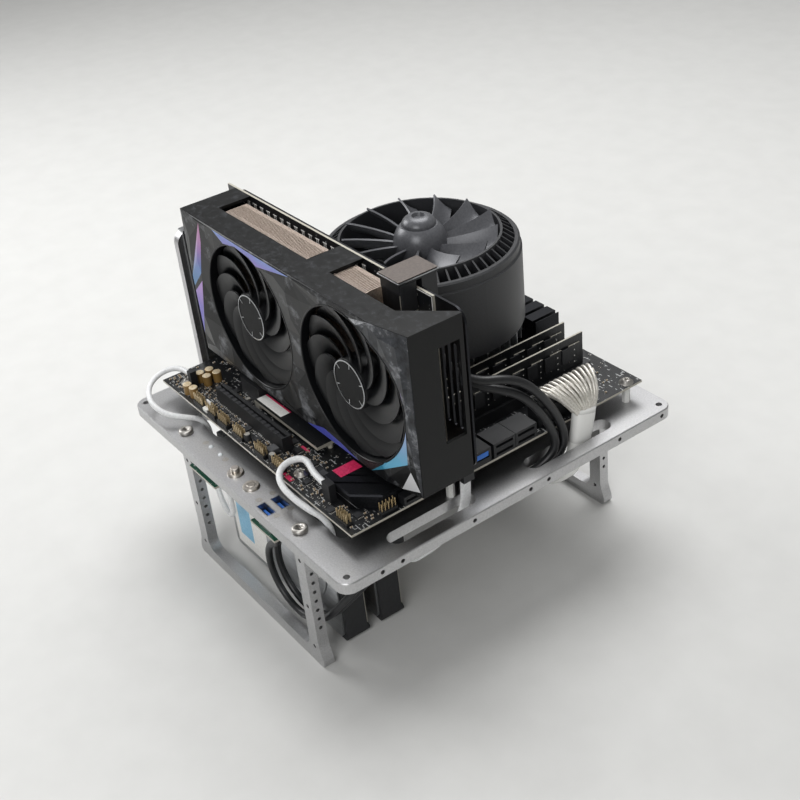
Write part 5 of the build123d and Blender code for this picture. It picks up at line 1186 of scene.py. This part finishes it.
# %% Kinds of parts
LEG_PITCH, LEG_OUT, PART_EDGE = 0.95, 3, 0.12
chip_legs = tuple(((x - 0.5, k * LEG_PITCH - 0.2, 0), (x + 0.5, k * LEG_PITCH + 0.2, 0.35))
                  for x in (-LEG_OUT, LEG_OUT) for k in (-2, -1, 0, 1, 2))
ceramic_ends = (((-0.52, -1.0, 0), (0.52, -0.6, 0.92)), ((-0.52, 0.6, 0), (0.52, 1.0, 0.92)))
resistor_ends = (((-1.0, -0.52, 0), (-0.6, 0.52, 0.52)), ((0.6, -0.52, 0), (1.0, 0.52, 0.52)))
PART_KINDS = (
    # kind, across, along, count, shapes: (finish, slot, boxes as low and high corners)
    ("coil", 7, 7, 9, ((grey_ferrite, "black_plastic", (((-3.4, -3.4, 0), (3.4, 3.4, 3.6)),)),)),
    ("chip", 7.2, 5, 20, (
        (chip_black, "black_plastic", (((-2.6, -2.4, 0.2), (2.6, 2.4, 1.3)),)),
        (tin, "stainless_steel", chip_legs))),
    ("crystal", 3.4, 5.2, 4, ((tin, "stainless_steel", (((-1.5, -2.4, 0), (1.5, 2.4, 1.4)),)),)),
    ("ceramic", 1.1, 2.2, 230, (
        (tan_ceramic, "black_plastic", (((-0.5, -0.6, 0), (0.5, 0.6, 0.9)),)),
        (tin, "stainless_steel", ceramic_ends))),
    ("resistor", 2.2, 1.1, 210, (
        (chip_black, "black_plastic", (((-0.6, -0.5, 0), (0.6, 0.5, 0.5)),)),
        (tin, "stainless_steel", resistor_ends))),
)
part_dice = random.Random(23)
for kind, across, along, count, shapes in PART_KINDS:
    places = free_places(count, across, along, part_dice)
    for finish, slot, boxes in shapes:
        one = bmesh.new()
        for low, high in boxes:
            box(one, low, high, PART_EDGE)
        mesh = grow(kind, spot_tree, one, places, {"Turn": 0.0, "Seed": 1, "Finish": finish})
        settle(put(f"{kind}_in_{finish.name}", mesh), None)
    print(kind, len(places))

# %% [markdown]
# Round capacitors stand upright: an aluminium can in a dark sleeve with a bare top.

# %% Round capacitors on the board
FULL_TURN, CAN_STEPS = 6.28, 24
can_spots = [(-14.8, -109.3, BOARD_TOP), (16.9, -109.1, BOARD_TOP)] + free_places(9, 6, 6, part_dice)
CAN_SHAPES = (
    # piece, profile, finish, slot
    ("can_sleeves", [(0, 0), (2.5, 0), (2.5, 4.9), (2.2, 5.2), (2.0, 5.2), (0, 5.1)],
     chip_black, "black_plastic"),
    ("can_tops", [(0, 5.1), (2.0, 5.15), (2.0, 5.3), (0, 5.35)], tin, "stainless_steel"),
)
for name, profile, finish, slot in CAN_SHAPES:
    one = bmesh.new()
    turned(one, profile, Matrix(), CAN_STEPS)
    mesh = grow(name, spot_tree, one, can_spots, {"Turn": FULL_TURN, "Seed": 2, "Finish": finish})
    settle(put(name, mesh), None)
print("cans:", len(can_spots))

# %% [markdown]
# ## Rows on the board, the slots, the memory and the card
# Solder points, contact windows, pins, chips and ink marks all come in even rows. One loop
# grows each row from a small block, a count and a step.

# %% Rows
INK_Y, INK_FACE, MARK_STEP, MARKS = -35.75, -35.6, (8.7, 0, 0), 18
CHIP_STEP, CHIPS, DOT_LOW, DOT_PITCH, DOT_COLUMNS = (0, 15.4, 0), 8, 139.4, 4.6, 4
PIN_STEP, ROW_EDGE = 2.54, 0.06
ROWS = [
    # piece, block's low and high corner, count, step, finish, slot
    ("slot_solder_points", (-76, -101.2, 125.6), (-75.2, -100.5, 126), 43, (2, 0, 0), tin, "stainless_steel"),
    ("slot_windows", (-72.5, -99.3, 136.7), (-69, -96.3, 137.1), 15, (5.5, 0, 0), charcoal, "black_plastic"),
    ("edge_pins_1", (111.2, -90.6, 128), (111.8, -90, 134), 5, (0, PIN_STEP, 0), gold, "gold_capacitor"),
    ("edge_pins_2", (113.7, -90.6, 128), (114.3, -90, 134), 5, (0, PIN_STEP, 0), gold, "gold_capacitor"),
    ("fan_pins", (-68.2, -111.6, 128), (-67.6, -111, 133.4), 2, (PIN_STEP, 0, 0), gold, "gold_capacitor"),
]
for side, x_low, z_low, x_high, z_high in (
        ("near", -110, 246, -105.5, 246.6), ("far", -110, 249.4, -105.5, 250),
        ("left", -109, 246.5, -108.4, 249.5), ("right", -107, 246.5, -106.4, 249.5)):
    ROWS.append((f"card_marks_{side}", (x_low, INK_Y, z_low), (x_high, INK_FACE, z_high), MARKS, MARK_STEP,
                 paper, "black_circuit_board"))
ROWS.append(("adapter_ribs", (77.5, -47.6, 241), (78.4, -46.9, 259.6), 10, (1.9, 0, 0),
             chip_black, "black_plastic"))
for number in (1, 2):
    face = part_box(f"memory_module_{number}")[1].x / MM
    ROWS.append((f"memory_chips_{number}", (face, -22, 142), (face + 0.9, -13.5, 153), CHIPS, CHIP_STEP,
                 chip_black, "black_plastic"))
    for column in range(DOT_COLUMNS):
        z = DOT_LOW + column * DOT_PITCH
        ROWS.append((f"memory_dots_{number}_{column}", (face - 0.02, -10.6, z), (face + 0.12, -9.8, z + 0.8),
                     CHIPS, CHIP_STEP, paper, "black_circuit_board"))
for name, low, high, count, step, finish, slot in ROWS:
    one = bmesh.new()
    box(one, low, high, ROW_EDGE)
    mesh = grow(name, row_tree, one, ORIGIN,
                {"Count": count, "Step": tuple(v * MM for v in step), "Finish": finish})
    settle(put(name, mesh), None)
print("rows:", len(ROWS))

# %% [markdown]
# ## Labels and single blocks
# Labels stay blank: a white label with a red stripe on the storage stick, a white one with a
# pale blue field on the first drive. A red lacquered field crosses the chipset's heatsink.

# %% Labels and blocks
BLOCKS = (
    # piece, low corner, high corner, edge, finish, slot
    ("stick_label", (-46.6, -82.2, 131.15), (-15, -74.9, 131.4), 0.1, paper, "black_circuit_board"),
    ("stick_stripe", (-46.6, -74.8, 131.15), (-15, -73.6, 131.38), 0.1, red_lacquer, "black_circuit_board"),
    ("chipset_field", (66.6, -94, 135.9), (76.6, -77.5, 136.12), 0.08, red_lacquer, "black_aluminium"),
    ("chipset_edge_1", (73, -101.12, 130.4), (103, -100.9, 130.9), 0.04, port_steel, "black_aluminium"),
    ("board_red_mark_1", (33, -113.6, 125.55), (45, -110.2, 125.72), 0.05,
     red_lacquer, "black_circuit_board"),
    ("board_red_mark_2", (17, -87.6, 125.55), (26, -85.6, 125.72), 0.05,
     red_lacquer, "black_circuit_board"),
    ("drive_label", (-66, -107.75, 8), (-20, -107.45, 66), 0.1, paper, "pressed_steel"),
    ("drive_label_field", (-60, -107.85, 18), (-41, -107.7, 52), 0.05, pale_blue, "pressed_steel"),
    ("edge_pin_strip", (110.4, -91.4, 125.6), (115, -79, 128.1), 0.2, nylon, "black_plastic"),
    ("fan_socket", (-69.4, -113.9, 125.6), (-63.8, -108.6, 128.4), 0.2, white_nylon, "white_cable"),
    ("fan_socket_wall", (-69.4, -109.8, 128.2), (-63.8, -108.6, 133), 0.2, white_nylon, "white_cable"),
    ("side_port_tongue", (116.9, -24.6, 131), (117.3, -8.4, 134.6), 0.1, blue_plastic, "blue_plastic"),
    ("adapter_socket", (77, -47, 240.6), (96, -36.2, 259.8), 0.4, nylon, "black_plastic"),
    ("adapter_plate", (75.2, -48.8, 262.4), (95.8, -19.7, 262.8), 0.1, brown_board, "black_plastic"),
    ("adapter_rim", (74.85, -49.15, 261.2), (96.15, -19.35, 262), 0.1, port_steel, "port_steel"),
    ("card_tab_line_1", (91.6, -35.8, 237), (92.2, -35.6, 254), 0.04, paper, "black_circuit_board"),
    ("card_tab_line_2", (109, -35.8, 237), (109.6, -35.6, 254), 0.04, paper, "black_circuit_board"),
    ("card_tab_line_3", (91.6, -35.8, 253.4), (109.6, -35.6, 254), 0.04, paper, "black_circuit_board"),
)
for name, low, high, edge, finish, slot in BLOCKS:
    one = bmesh.new()
    box(one, low, high, edge)
    finish_mesh(name, one, finish)
print("labels and blocks:", len(BLOCKS))

# %% [markdown]
# ## Stage and light
# A plain pale floor and a soft, even light let each colour render about as it is written.
# Three large soft boxes give the metal its gradients.

# %% Floor, lamps and world
REACH, AIM = 6.0, Vector((0, 0, 0.13))
floor_mesh = bpy.data.meshes.new("floor")
floor_mesh.from_pydata([(-REACH, -REACH, 0), (REACH, -REACH, 0), (REACH, REACH, 0), (-REACH, REACH, 0)], [],
                       [(0, 1, 2, 3)])
# plain pale ground that shows the shadow and little else
floor_mesh.materials.append(grain(start("pale_studio_floor", "#CFCFCD", 0.8, IOR=1.45),
                                  30, "#CDCDCB", "#D1D1CF", (0.76, 0.84), 0.0))
put("floor", floor_mesh)

LAMPS = (
    # name, place and size in metres, power in watts
    ("soft_box_above", (-0.35, 0.45, 1.5), 1.3, 22),
    ("soft_box_front", (0.9, -1.3, 1.15), 1.0, 12),
    ("soft_box_left", (-1.3, -0.5, 0.9), 0.8, 10),
)
for name, place, size, power in LAMPS:
    lamp_data = bpy.data.lights.new(name, "AREA")
    lamp_data.shape, lamp_data.size, lamp_data.energy = "DISK", size, power
    lamp = put(name, lamp_data)
    lamp.location = place
    lamp.rotation_euler = (AIM - Vector(place)).to_track_quat("-Z", "Y").to_euler()

world = bpy.data.worlds.new("studio")
scene.world = world
world.use_nodes = True
background = world.node_tree.nodes["Background"]
background.inputs["Color"].default_value = linear("#F2F2F1")
background.inputs["Strength"].default_value = 0.32
scene.view_settings.view_transform = "Standard"
print("lamps:", len(LAMPS))
